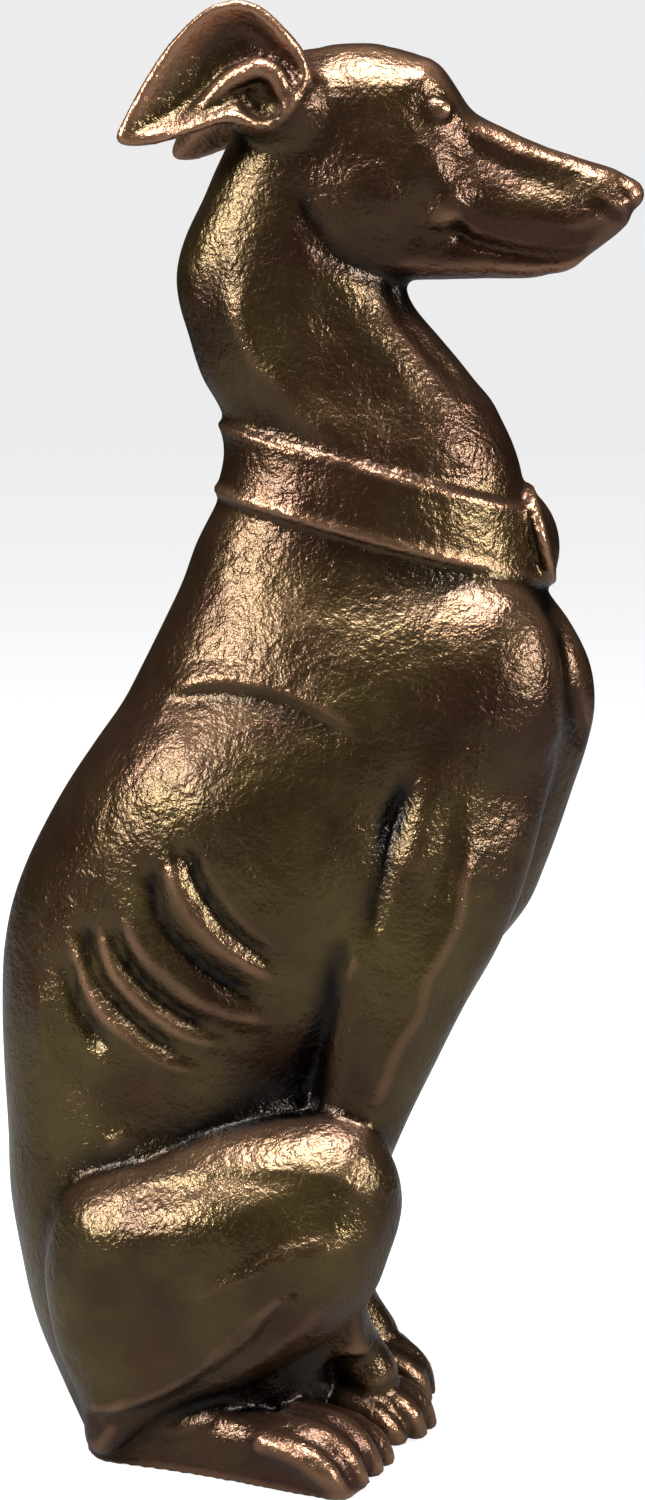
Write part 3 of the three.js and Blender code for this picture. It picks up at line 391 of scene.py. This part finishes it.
HEEL_TO_KNEE = [
    (-78, 22), (-75.4, 22.5), (-60.2, 26.9), (-48.6, 32.5), (-37, 41), (-27.8, 48.3),
    (-20.8, 55.6), (-13.9, 65.3),
    (-5, 73.7),
]
KNEE_CREST = [
    (-84, 89), (-67, 98.3), (-50, 105), (-32, 109.6), (-14, 110.2), (3.4, 108.6), (13, 103),
    (18.5, 94),
    (20, 88),
]
CALF_CREASE = [(-63, 8.5), (-49.2, 11.8), (-37.5, 18), (-28.2, 23.6), (-17, 30)]
THIGH_EDGE = [(17, 90), (3.4, 90.6), (-11.4, 86.9), (-25.1, 79.7), (-41, 72), (-60, 66)]
for form in (
    fold(HEEL_TO_KNEE, 1.7, 2.3, 6, 0.14),
    line([(9, 76), (-2.4, 61), (-16.2, 48.5), (-31.3, 38.7), (-46, 28)], 5.5, -1.6, 0.3),
    line([(-12, 72), (-24, 62), (-33, 51.5), (-43, 43)], 2.6, -1, 0.3),
    fold(CALF_CREASE, 1, 1.8, 5, 0.25),
    fold(KNEE_CREST, 0.5, 1.3, 8, 0.25),
    fold(THIGH_EDGE, 1.6, 0.6, 8, 0.25),
    dent(-1, 98, 15, 7, 1.6),
    dent(-37, 88, 20, 15, -1.2),
    dent(-8, 73.3, 3.6, 2.6, 2.4),
):
    on_hind(press, lambda x, y, z: form(x, y, z) * clamp01((y - 38) / 8))


def paw(toes, put):
    """Toes, each a limb from root to knuckle to tip, with a short claw, and a pad under them."""
    for toe in toes:
        x, y, z, r = toe[-1]
        put(limb(toe, 4), 1.3)
        put(limb([(x + r * 0.7, y, 3, 1.8), (x + r * 1.35, y, 1.4, 0.9)], 1), 1.2)
    middle = np.mean([toe[1][:2] for toe in toes], axis=0)
    put(oval((middle[0] - 6, middle[1], 6), (15, 13, 9)), 3)


HIND_TOES = [
    [(-4, 41.5, 17.5, 5.4), (9, 44, 14.5, 5.8), (17.5, 44.5, 9.5, 5.4), (21.5, 44.5, 4.6, 4.4)],
    [(-8, 48.5, 19, 5.8), (5, 52.5, 17, 6.2), (13, 54, 11.5, 5.8), (17.5, 54, 5, 4.6)],
    [(-12, 55.5, 18, 5.8), (0, 60.8, 16, 6.2), (8, 63.2, 11.2, 5.8), (12.6, 63.8, 5, 4.6)],
    [(-17, 61, 15, 5.4), (-5, 67, 13, 5.7), (2, 70.2, 9, 5.4), (6, 71, 4.5, 4.3)],
]
paw(HIND_TOES, lambda form, soft: on_hind(add, form, soft))

ARM_RIDGE = [
    (50, 228), (50.4, 215), (47.8, 204.5), (46, 192.4), (40, 180), (36.2, 173.4), (33.6, 161.2),
    (27, 150.3),
    (21.8, 136.5), (17.8, 125.5), (13, 104),
]
ARM_GROOVE = [
    (33, 244), (28.6, 235.5), (24.8, 227.5), (22.2, 215.5), (19.6, 202), (18.3, 191), (19.6, 187),
]
FOREARM_BACK = [(12, 184), (9.7, 181), (7.1, 172), (5.1, 161), (1.8, 147), (-2.2, 133.6), (-6, 122)]
FORE_LINES = [
    line(ARM_GROOVE, 2.8, 1.9, 0.3),
    line([(34, 246), (28, 234), (25, 226), (23, 214)], 6.5, 1.3, 0.35),
    line([(38, 252), (35.5, 234), (32.5, 216), (28.5, 200)], 6.5, -1.6, 0.3),
    fold(FOREARM_BACK, 1.2, 2.7, 6, 0.15),
    line(ARM_RIDGE, 4.2, -1.8, 0.2),
    line([(42, 240), (42, 222), (40, 206), (37, 192)], 4.5, 1.3, 0.3),
]
for form in FORE_LINES:
    press_pair(form, (-30, 18, 40), (90, 80, 265))
breast = line([(73, 301), (78, 290), (82, 275), (83.5, 263), (87, 250), (90, 238)], 2.6, 2.6, 0.2)
press_pair(lambda x, y, z: breast(x, y, z) * clamp01(y / 8), (50, 2, 225), (110, 60, 310))

# ---- Neck, head and ears -------------------------------------------------------------------------
# The head looks a little to its right: it is shaped straight ahead, then turned about the nape. The
# ears are cast as thick leaves folded back, each with a rolled rim round a shallow bowl.

HEAD_TURN = math.radians(8.5)
NAPE_X = -12
# From the nape forward: place, top, bottom, half width at brow, cheek and jaw, height of the brow edge.
HEAD = [
    (-28, 462, 430, 8, 11, 9, 448), (-22, 470, 424, 15, 18, 13, 452),
    (-12, 474.5, 415, 20, 22.5, 17, 455),
    (-2, 476.6, 409, 22, 23.5, 18.5, 456.5), (9, 478, 403.5, 23, 24, 18, 457),
    (18, 477.7, 401.2, 22.5, 23, 16, 457),
    (26, 475.9, 400.8, 21, 22, 14.5, 457.5), (33, 473.8, 400.5, 18.6, 21, 13, 461.5),
    (38, 471.8, 400.5, 15.6, 20.3, 12, 465.5), (41, 469, 400.5, 13.6, 19.5, 11, 462),
    (44.5, 464, 400.6, 12.2, 18, 10.3, 456.5), (49.5, 456.6, 400.8, 10.4, 15.8, 9.4, 449.5),
    (54.5, 453.2, 401, 9.4, 14, 8.8, 446), (60, 450.6, 401, 8.6, 12.8, 8.3, 443.6),
    (68, 446.8, 401, 8, 11.8, 7.6, 440.2), (76, 443.6, 402.2, 7.2, 10.8, 6.8, 437.4),
    (84, 441, 404.2, 6.6, 10, 6, 435.2), (92, 438.3, 410.6, 6, 9.2, 5.4, 432.6),
    (98, 436.2, 415.6, 5, 8, 4.6, 430.6), (102, 434, 419.6, 4, 6, 3.8, 429),
]
EAR = [
    (2.5, 465), (-0.5, 473.5), (-5.5, 480), (-12.5, 486.6), (-18.5, 489.2), (-24.5, 489.2),
    (-30.5, 487.4),
    (-36.5, 483), (-44.2, 475), (-50, 466.8), (-55, 458.5), (-59.4, 450), (-61.4, 445.6),
    (-58, 443.2),
    (-50, 443.4), (-43, 445), (-36, 447), (-25, 450.5), (-14, 449.5), (-5, 453),
]

THROAT_CREASE = [(22.5, 401), (23.7, 397), (27.2, 387.8), (35.6, 377.3), (43, 369.5), (48, 363)]
NECK_LINES = [
    line([(-30, 405), (-27.9, 389), (-22.1, 375), (-9.1, 362.3), (8, 346), (24, 333)], 6.5, -2.2, 0.25),
    line([(-33, 420), (-36, 402), (-35, 385), (-29, 370), (-18, 356)], 5, 1.2, 0.3),
    line([(2, 400), (4, 388), (12, 374), (26, 358), (38, 346)], 9, 1.6, 0.3),
    line(THROAT_CREASE, 1.9, 2.4, 0.2),
    dent(42, 346, 10, 6, -1.4),
]
for form in NECK_LINES:
    press_pair(lambda x, y, z: form(x, y, z) * clamp01((y - 6) / 8), (-60, 6, 338), (70, 60, 440))


def to_head(x, y):
    """Turns a place back to the head's own straight position, about the nape."""
    c, s = math.cos(HEAD_TURN), math.sin(HEAD_TURN)
    return c * (x - NAPE_X) - s * y + NAPE_X, s * (x - NAPE_X) + c * y


def on_head(form):
    """The same form on both sides of the turned head."""

    def turned(x, y, z):
        hx, hy = to_head(x, y)
        return form(hx, np.abs(hy), z)

    return turned


def skull(x, y, z):
    """Half width by height: a domed crown over the brow, upright cheeks, narrow jaw, round chin."""
    top, bottom, brow, cheek, jaw, edge = through(HEAD, x)
    middle, lip = bottom + (edge - bottom) * 0.55, bottom + (edge - bottom) * 0.18
    crown = brow * np.sqrt(np.maximum(1 - clamp01((z - edge) / (top - edge + 1e-3)) ** 1.7, 0))
    temple = cheek + (brow - cheek) * ease((z - middle) / (edge - middle))
    mouth = cheek + (jaw - cheek) * ease((middle - z) / (middle - lip))
    chin = jaw * np.sqrt(np.maximum(1 - clamp01((lip - z) / (lip - bottom + 1e-3)) ** 2.4, 0))
    half = np.where(z > edge, crown, np.where(z > middle, temple, np.where(z > lip, mouth, chin)))
    ends = np.maximum(np.maximum(z - top, bottom - z), np.maximum(x - 102, -28 - x))
    return np.maximum((y - half) * 0.72, ends)


HEAD_BOX = ((-62, -60, 385), (111, 60, 494))
add(on_head(skull), 6, *HEAD_BOX)
add(on_head(oval((92, 0, 425.5), (10.4, 8.8, 10.4), 12)), 4, *HEAD_BOX)
add(on_head(oval((101.6, 0, 428.4), (5.8, 6, 5.4))), 1.2, *HEAD_BOX)
add(on_head(oval((15, 10.5, 427), (19, 14, 18))), 5, *HEAD_BOX)
add(on_head(oval((43, 10.6, 424.5), (10.5, 8, 6.2), -40)), 3, *HEAD_BOX)
cut(on_head(oval((42.5, 24, 453.5), (9.5, 7.6, 7.5), -25)), 4, *HEAD_BOX)
add(on_head(oval((41.2, 14.2, 454.9), (4.3, 3.2, 2.7), -12)), 0.6, *HEAD_BOX)
UPPER_LID = [
    (36.6, 16.6, 453.8, 0.9), (39.2, 17.2, 457, 1.2), (42.6, 16.6, 458.2, 1.2),
    (46.4, 14.8, 455.8, 0.9),
]
LOWER_LID = [(36.8, 16.6, 453.8, 0.7), (41.4, 17, 451.9, 0.9), (46, 15, 452.6, 0.8)]
add(on_head(limb(UPPER_LID, 4)), 1, *HEAD_BOX)
add(on_head(limb(LOWER_LID, 4)), 1, *HEAD_BOX)
MOUTH = [
    (45.5, 417.2), (47.5, 416), (50.8, 413.7), (62.3, 410.3), (74.9, 408.5), (83.7, 408.3),
    (91, 410.6),
]
for form in (
    line(MOUTH, 1.5, 2.2, 0.08),
    fold(MOUTH, 1, 0.8, 4, 0.12),
    dent(47.6, 415.8, 2.2, 2, 2),
    line([(43, 415.5), (43.8, 419), (47, 421), (51, 419.5)], 1.7, -0.9, 0.35),
    dent(88, 417.4, 7, 4, -1.3),
    line([(90, 425), (95, 423.6), (101, 420.2)], 1.3, 1.3, 0.25),
    line([(96.5, 428.6), (99, 429.4), (101, 428)], 1.2, 1.4, 0.3),
    line([(-5, 437), (-2, 424), (5, 412), (15, 404), (28, 400)], 4, 1.6, 0.25),
    line([(47, 447), (56, 440), (70, 434), (84, 429)], 4.5, 1, 0.3),
):
    press(on_head(lambda x, y, z: form(x, y, z) * clamp01(y / 4)), (-20, -40, 395), (111, 40, 465))

EAR_BOX = ((-80, -75, 430), (24, 75, 495))
ear_edge = outline(EAR)


def ear(x, y, z):
    """A leaf between two skins: the outer one sinks behind a rolled rim, the inner one is plain."""
    edge = ear_edge(x, z)
    inwards = np.maximum(-edge, 0)
    sink = 9 * (1 - bell(inwards / 6.5)) * (0.35 + 0.65 * clamp01((x + 60) / 26))
    middle = 33.5 - (x + 10) * 0.1 - np.clip(x + 8, 0, 20) * 0.45 - sink
    front = y - (middle + 2.6 + bell((inwards - 2.2) / 2.2))
    back = middle - (3.1 + 1.2 * clamp01(inwards / 8)) - y
    return -joined(-np.maximum(front, back) * 0.85, -edge, 2.8)


def ears(x, y, z):
    """Both ears; the left one is laid a little further back."""
    hx, hy = to_head(x, y)
    near = ear(hx, -hy, z)
    far = ear((hx + 56) / 0.82 - 56, hy, z + 1.5) * 0.9
    return np.where(hy < 0, near, far)


add(on_head(oval((-9, 20, 457), (12, 12, 12), 18)), 9, *EAR_BOX)
add(on_head(oval((-18, 27, 453), (9, 8, 6.5), 12)), 5, *EAR_BOX)
add(ears, 3, *EAR_BOX)
EAR_FOLD = [
    (-38, 33, 452.5, 1.6), (-31, 32, 458.5, 2.6), (-24, 32, 464.5, 3.2), (-15, 32.5, 468, 3.6),
    (-9, 32, 465, 3.3),
    (-7.3, 31, 459, 2.8),
]
add(on_head(limb(EAR_FOLD, 4)), 2.5, *EAR_BOX)
cut(on_head(oval((-14.5, 34, 456.5), (7.5, 6, 5), 25)), 2, *EAR_BOX)

# ---- Collar and medallion ------------------------------------------------------------------------
# A flat band cast round the neck, with a welt along its lower edge and a lip along its upper one, and
# a plain domed disc at the throat. Both are cast with the dog.

COLLAR_MIDDLE, COLLAR_TILT, COLLAR_WIDTH, COLLAR_PROUD = (17, 329.3), math.radians(15), 20.4, 2.8
DISC_MIDDLE, DISC_TILT, DISC_RADIUS = (73.8, 315.6), math.radians(14.5), 18
COLLAR_BOX = ((-60, -60, 285), (100, 60, 375))


def collar(x, y, z):
    """The trunk's own skin raised between two slanted planes, with a bead along each."""
    lean, rise = math.sin(COLLAR_TILT), math.cos(COLLAR_TILT)
    over = (x - COLLAR_MIDDLE[0]) * lean + (z - COLLAR_MIDDLE[1]) * rise
    neck = trunk(x, y, z)
    band = -joined(COLLAR_PROUD - neck, COLLAR_WIDTH / 2 - np.abs(over), 1.4)
    welt = np.hypot(neck - 1.6, over + COLLAR_WIDTH / 2 + 1.8) - 1.9
    lip = np.hypot(neck - COLLAR_PROUD + 0.4, over - COLLAR_WIDTH / 2 + 1.2) - 1.2
    return joined(joined(band, welt, 1.2), lip, 1)


def medallion(x, y, z):
    """A disc on a slanted axis with a low dome on its face."""
    c, s = math.cos(DISC_TILT), math.sin(DISC_TILT)
    dx, dz = x - DISC_MIDDLE[0], z - DISC_MIDDLE[1]
    out, away = dx * c + dz * s, np.hypot(-dx * s + dz * c, y)
    disc = -joined(DISC_RADIUS - away, 2 - np.abs(out), 1.5)
    dome = np.maximum(np.hypot(away, out + 18) - 24.2, away - 13.5)
    return np.minimum(disc, dome)


add(collar, 0.8, *COLLAR_BOX)
add(medallion, 0.8, (50, -40, 285), (100, 40, 345))

# ---- Front paws and tail -------------------------------------------------------------------------
# The front paws stand close together under the chest. The thin tail lies on the floor round the left
# side. Both are worked into the same clay, which is then smoothed once and cut level at the floor.

# Toes of one front paw, from the outer one in: x, distance outwards from its middle, z, radius.
FRONT_TOES = [
    [(6, 7.5, 15, 5.5), (17, 9.5, 12, 5.6), (23, 10.5, 7.5, 4.9), (26, 10.5, 4, 3.8)],
    [(9, 2.5, 18, 6), (23, 4, 14.3, 6), (30, 4.6, 9.5, 5.3), (33, 4.6, 4.5, 4.1)],
    [(10, -3.5, 18.5, 6), (25.5, -4, 14.6, 6), (33.5, -4, 9.5, 5.3), (36.5, -4, 4.5, 4.1)],
    [(9, -9.5, 16, 5.5), (24, -11.5, 13, 5.6), (32.5, -12, 8.4, 5), (35.5, -12, 4.2, 3.9)],
]
PAW_RISE = {-1: 1, 1: 1.28}  # the left paw is arched higher
for aside in (-16, 22):
    side = math.copysign(1, aside)
    wrist = [
        (5, side * 24, 62, 10), (6, aside * 0.6 + side * 9.5, 47, 9.8),
        (9, aside, 35, 10.6), (16, aside, 23, 11),
    ]
    add(limb(wrist, 4), 4, (-30, -60, -9), (60, 60, 80))
    toes = [
        [(x, aside + side * out, z * PAW_RISE[side], r) for x, out, z, r in toe] for toe in FRONT_TOES
    ]
    paw(toes, lambda form, soft: add(form, soft, (-30, -60, -9), (60, 60, 60)))


def blurred(field, passes):
    """Each point's weighted mean with its neighbours, 1 2 1 along each axis, some passes over."""
    for _ in range(passes):
        for axis in range(3):
            field = np.moveaxis(field, axis, 0).copy()
            field[1:-1] = (field[:-2] + 2 * field[1:-1] + field[2:]) / 4
            field = np.moveaxis(field, 0, axis)
    return field


TAIL = [
    (-82, 10, 22, 9), (-83, 28, 11, 8), (-77, 46, 8, 7.5), (-60, 60, 7, 7), (-38, 70, 6.2, 6.4),
    (-18, 77, 5.6, 5.6),
    (-4, 79, 5, 4.6),
]
add(limb(TAIL, 5), 3, (-115, -10, -9), (30, 92, 50))
clay = np.maximum(blurred(clay, 1), -AXES[2])

# ---- The skin of the casting ---------------------------------------------------------------------
# The surface where the distance is zero, thinned where it is flat. Two values stay with each vertex
# for the colour: how far it stands proud as an edge, for the rubbed copper, and how deep it lies in a
# hollow, for the painted shade.

FACES = 196000
EDGE_PASSES, HOLLOW_PASSES = 4, 5
COARSE = 3
DEEPEST = 30


def sampled(field, step, places):
    """The field's value at places in block steps, from the eight points round each."""
    at = np.clip(places / step, 0, np.array(field.shape) - 1.001)
    low = at.astype(int)
    share = at - low
    total = 0
    for corner in np.ndindex(2, 2, 2):
        weight = np.prod(np.where(corner, share, 1 - share), axis=1)
        total = total + weight * field[tuple((low + corner).T)]
    return total


grid = openvdb.FloatGrid(float(FAR_OFF))
grid.copyFromArray(np.ascontiguousarray(clay))
points, _, quads = grid.convertToPolygons(isovalue=0.0, adaptivity=0.0)

mesh = bpy.data.meshes.new("dog_skin")
mesh.from_pydata((points * CELL + BLOCK_LOW) / MM, [], quads)
dog = bpy.data.objects.new("dog", mesh)
bpy.context.scene.collection.objects.link(dog)
thinning = dog.modifiers.new("thinning", "DECIMATE")
thinning.ratio = min(FACES / (2 * len(quads)), 1)
thinning.use_collapse_triangulate = True
depsgraph = bpy.context.evaluated_depsgraph_get()
skin = bpy.data.meshes.new_from_object(dog.evaluated_get(depsgraph))
dog.modifiers.clear()
dog.data = skin
bpy.data.meshes.remove(mesh)
skin.name = "dog_skin"
skin.polygons.foreach_set("use_smooth", np.ones(len(skin.polygons), bool))

places = np.empty(len(skin.vertices) * 3, np.float32)
skin.vertices.foreach_get("co", places)
steps = (places.reshape(-1, 3) * MM - BLOCK_LOW) / CELL
fine = blurred(clay, EDGE_PASSES) - clay
coarse_clay = np.clip(clay[::COARSE, ::COARSE, ::COARSE], -DEEPEST, DEEPEST)
coarse = blurred(coarse_clay, HOLLOW_PASSES) - coarse_clay
for name, field, step in (("edge", fine, 1), ("hollow", coarse, COARSE)):
    value = sampled(field, step, steps)
    skin.attributes.new(name, "FLOAT", "POINT").data.foreach_set("value", np.float32(value))

# ---- Patina --------------------------------------------------------------------------------------
# Cast iron with a bronzed finish: dark brown and olive, rubbed to copper on edges, a painted highlight
# where it faces up, painted shade nearly black in the hollows, and the fine grain of the sand mould.

iron = bpy.data.materials.new("patinated_iron")
iron.use_nodes = True
tree = iron.node_tree
shader = tree.nodes["Principled BSDF"]


def node(kind, **values):
    """A node of the patina, with its settings and the values of its sockets."""
    made = tree.nodes.new(kind)
    for key, value in values.items():
        if hasattr(made, key):
            setattr(made, key, value)
        else:
            made.inputs[key.replace("_", " ")].default_value = value
    return made


def link(start, end):
    """Joins an output socket to an input socket of the patina."""
    tree.links.new(start, end)


def attribute(name, low, high):
    """A vertex value stretched so that low becomes 0 and high becomes 1."""
    return ranged(node("ShaderNodeAttribute", attribute_name=name).outputs["Fac"], low, high)


def mix(share, first, second):
    """Colour mixed from first to second by a share; either may be a socket or a colour."""
    made = node("ShaderNodeMix", data_type="RGBA")
    link(share, made.inputs["Factor"])
    for value, socket in ((first, made.inputs["A"]), (second, made.inputs["B"])):
        if isinstance(value, tuple):
            socket.default_value = (*value, 1)
        else:
            link(value, socket)
    return made.outputs["Result"]


coordinates = node("ShaderNodeTexCoord").outputs["Object"]


def noise(scale, detail=4.0, roughness=0.55):
    """Noise of a scale per metre, fixed to the casting."""
    made = node("ShaderNodeTexNoise", Scale=scale, Detail=detail, Roughness=roughness)
    link(coordinates, made.inputs["Vector"])
    return made.outputs["Fac"]


def ranged(source, low, high, to_low=0.0, to_high=1.0):
    """A socket's value stretched so that low becomes to_low and high becomes to_high."""
    stretch = node("ShaderNodeMapRange")
    link(source, stretch.inputs["Value"])
    for key, value in zip(("From Min", "From Max", "To Min", "To Max"), (low, high, to_low, to_high)):
        stretch.inputs[key].default_value = value
    return stretch.outputs["Result"]


# The fourth colour is a painted highlight for faces turned up.
# The last colour is painted shade for the hollows.
BROWN, OLIVE, RUST = (0.042, 0.02, 0.009), (0.09, 0.062, 0.02), (0.055, 0.022, 0.012)
PAINTED_TOP_LIGHT, COPPER, PAINTED_SHADE_BLACK = (0.15, 0.08, 0.052), (0.33, 0.175, 0.1), (0.004, 0.002, 0.001)
tone = mix(ranged(noise(18), 0.38, 0.62), BROWN, OLIVE)
tone = mix(ranged(noise(7), 0.45, 0.65), tone, RUST)
up = node("ShaderNodeSeparateXYZ")
link(node("ShaderNodeNewGeometry").outputs["Normal"], up.inputs["Vector"])
# Painted highlight: faces turned upwards are lightened towards pinkish copper, standing in for the light
# of the lamp overhead.
tone = mix(ranged(up.outputs["Z"], 0.3, 0.95, 0, 0.75), tone, PAINTED_TOP_LIGHT)
tone = mix(attribute("edge", 0.2, 0.9), tone, COPPER)
# Painted shade: the hollows are darkened to nearly black where shade falls in them.
tone = mix(attribute("hollow", -0.15, -1.6), tone, PAINTED_SHADE_BLACK)
link(tone, shader.inputs["Base Color"])
shader.inputs["Metallic"].default_value = 0.85
shader.inputs["Coat Weight"].default_value = 0.2
shader.inputs["Coat Roughness"].default_value = 0.2
link(ranged(noise(60), 0.3, 0.7, 0.23, 0.33), shader.inputs["Roughness"])

# The grain of the sand mould: crumbs about 1.5 mm across, over slow lumps.
grain = node("ShaderNodeBump", Strength=0.9, Distance=0.00045)
link(noise(620, 2.5, 0.6), grain.inputs["Height"])
lumps = node("ShaderNodeBump", Strength=0.6, Distance=0.0016)
link(noise(110, 2.0), lumps.inputs["Height"])
link(lumps.outputs["Normal"], grain.inputs["Normal"])
link(grain.outputs["Normal"], shader.inputs["Normal"])
link(grain.outputs["Normal"], shader.inputs["Coat Normal"])
skin.materials.append(iron)

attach(dog, "root")
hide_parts("dog_casting")

# ---- Floor, light and camera ---------------------------------------------------------------------
# A plain pale floor under soft studio light: a broad lamp above and in front, a weaker one on each
# side. The floor throws little light back, as a dark studio does, and glows so that it looks pale.

FLOOR_HALF = 6.0
floor_mesh = bpy.data.meshes.new("floor")
corners = [(x * FLOOR_HALF, y * FLOOR_HALF, 0) for x, y in ((-1, -1), (1, -1), (1, 1), (-1, 1))]
floor_mesh.from_pydata(corners, [], [(0, 1, 2, 3)])
floor = bpy.data.objects.new("floor", floor_mesh)
bpy.context.scene.collection.objects.link(floor)
PALE, THROWN_BACK, GLOW = 0.3, 0.2, 0.84
DIM = 0.015
pale = bpy.data.materials.new("pale_floor")
pale.use_nodes = True
paint = pale.node_tree.nodes["Principled BSDF"]
paint.inputs["Roughness"].default_value = 0.9
paint.inputs["Emission Color"].default_value = (1, 1, 1, 1)
floor_ray = pale.node_tree.nodes.new("ShaderNodeLightPath")
for socket, unseen, in_view in (("Base Color", THROWN_BACK, PALE), ("Emission Strength", 0, GLOW)):
    choice = pale.node_tree.nodes.new("ShaderNodeMapRange")
    choice.inputs["To Min"].default_value = unseen
    choice.inputs["To Max"].default_value = in_view
    pale.node_tree.links.new(floor_ray.outputs["Is Camera Ray"], choice.inputs["Value"])
    pale.node_tree.links.new(choice.outputs["Result"], paint.inputs[socket])
floor_mesh.materials.append(pale)

world = bpy.data.worlds.new("studio")
world.use_nodes = True
world.node_tree.nodes["Background"].inputs["Color"].default_value = (1, 1, 1, 1)
backdrop = world.node_tree.nodes["Background"]
seen = world.node_tree.nodes.new("ShaderNodeLightPath")
level = world.node_tree.nodes.new("ShaderNodeMapRange")
level.inputs["To Min"].default_value = DIM
level.inputs["To Max"].default_value = GLOW
world.node_tree.links.new(seen.outputs["Is Camera Ray"], level.inputs["Value"])
world.node_tree.links.new(level.outputs["Result"], backdrop.inputs["Strength"])
bpy.context.scene.world = world


def lamp(name, place, target, size, watts):
    """A square area lamp at a place, facing a target."""
    light = bpy.data.lights.new(name, "AREA")
    light.size, light.energy = size, watts
    made = bpy.data.objects.new(name, light)
    made.location = place
    away = np.array(place) - target
    tip, turn = math.atan2(math.hypot(away[0], away[1]), away[2]), math.atan2(away[0], -away[1])
    made.rotation_euler = (tip, 0, turn)
    bpy.context.scene.collection.objects.link(made)


CHEST = (0, 0, 0.25)
lamp("overhead", (0.0, -0.35, 1.6), CHEST, 0.7, 52)
lamp("left", (-1.3, -0.9, 1.0), CHEST, 0.5, 38)
lamp("right", (1.4, -0.8, 0.8), CHEST, 0.4, 30)

CAMERA_TURN, CAMERA_AWAY = math.radians(1.5), 1.005
CAMERA_HEIGHT, AIM_HEIGHT = 0.4, 0.241
LENS, SENSOR = 71, 36
camera_data = bpy.data.cameras.new("camera")
camera_data.lens, camera_data.sensor_width = LENS, SENSOR
camera = bpy.data.objects.new("camera", camera_data)
camera.location = (
    CAMERA_AWAY * math.sin(CAMERA_TURN),
    -CAMERA_AWAY * math.cos(CAMERA_TURN),
    CAMERA_HEIGHT,
)
look_down = math.atan((CAMERA_HEIGHT - AIM_HEIGHT) / CAMERA_AWAY)
camera.rotation_euler = (math.pi / 2 - look_down, 0, CAMERA_TURN)
bpy.context.scene.collection.objects.link(camera)
bpy.context.scene.camera = camera
bpy.context.scene.view_settings.view_transform = "Standard"
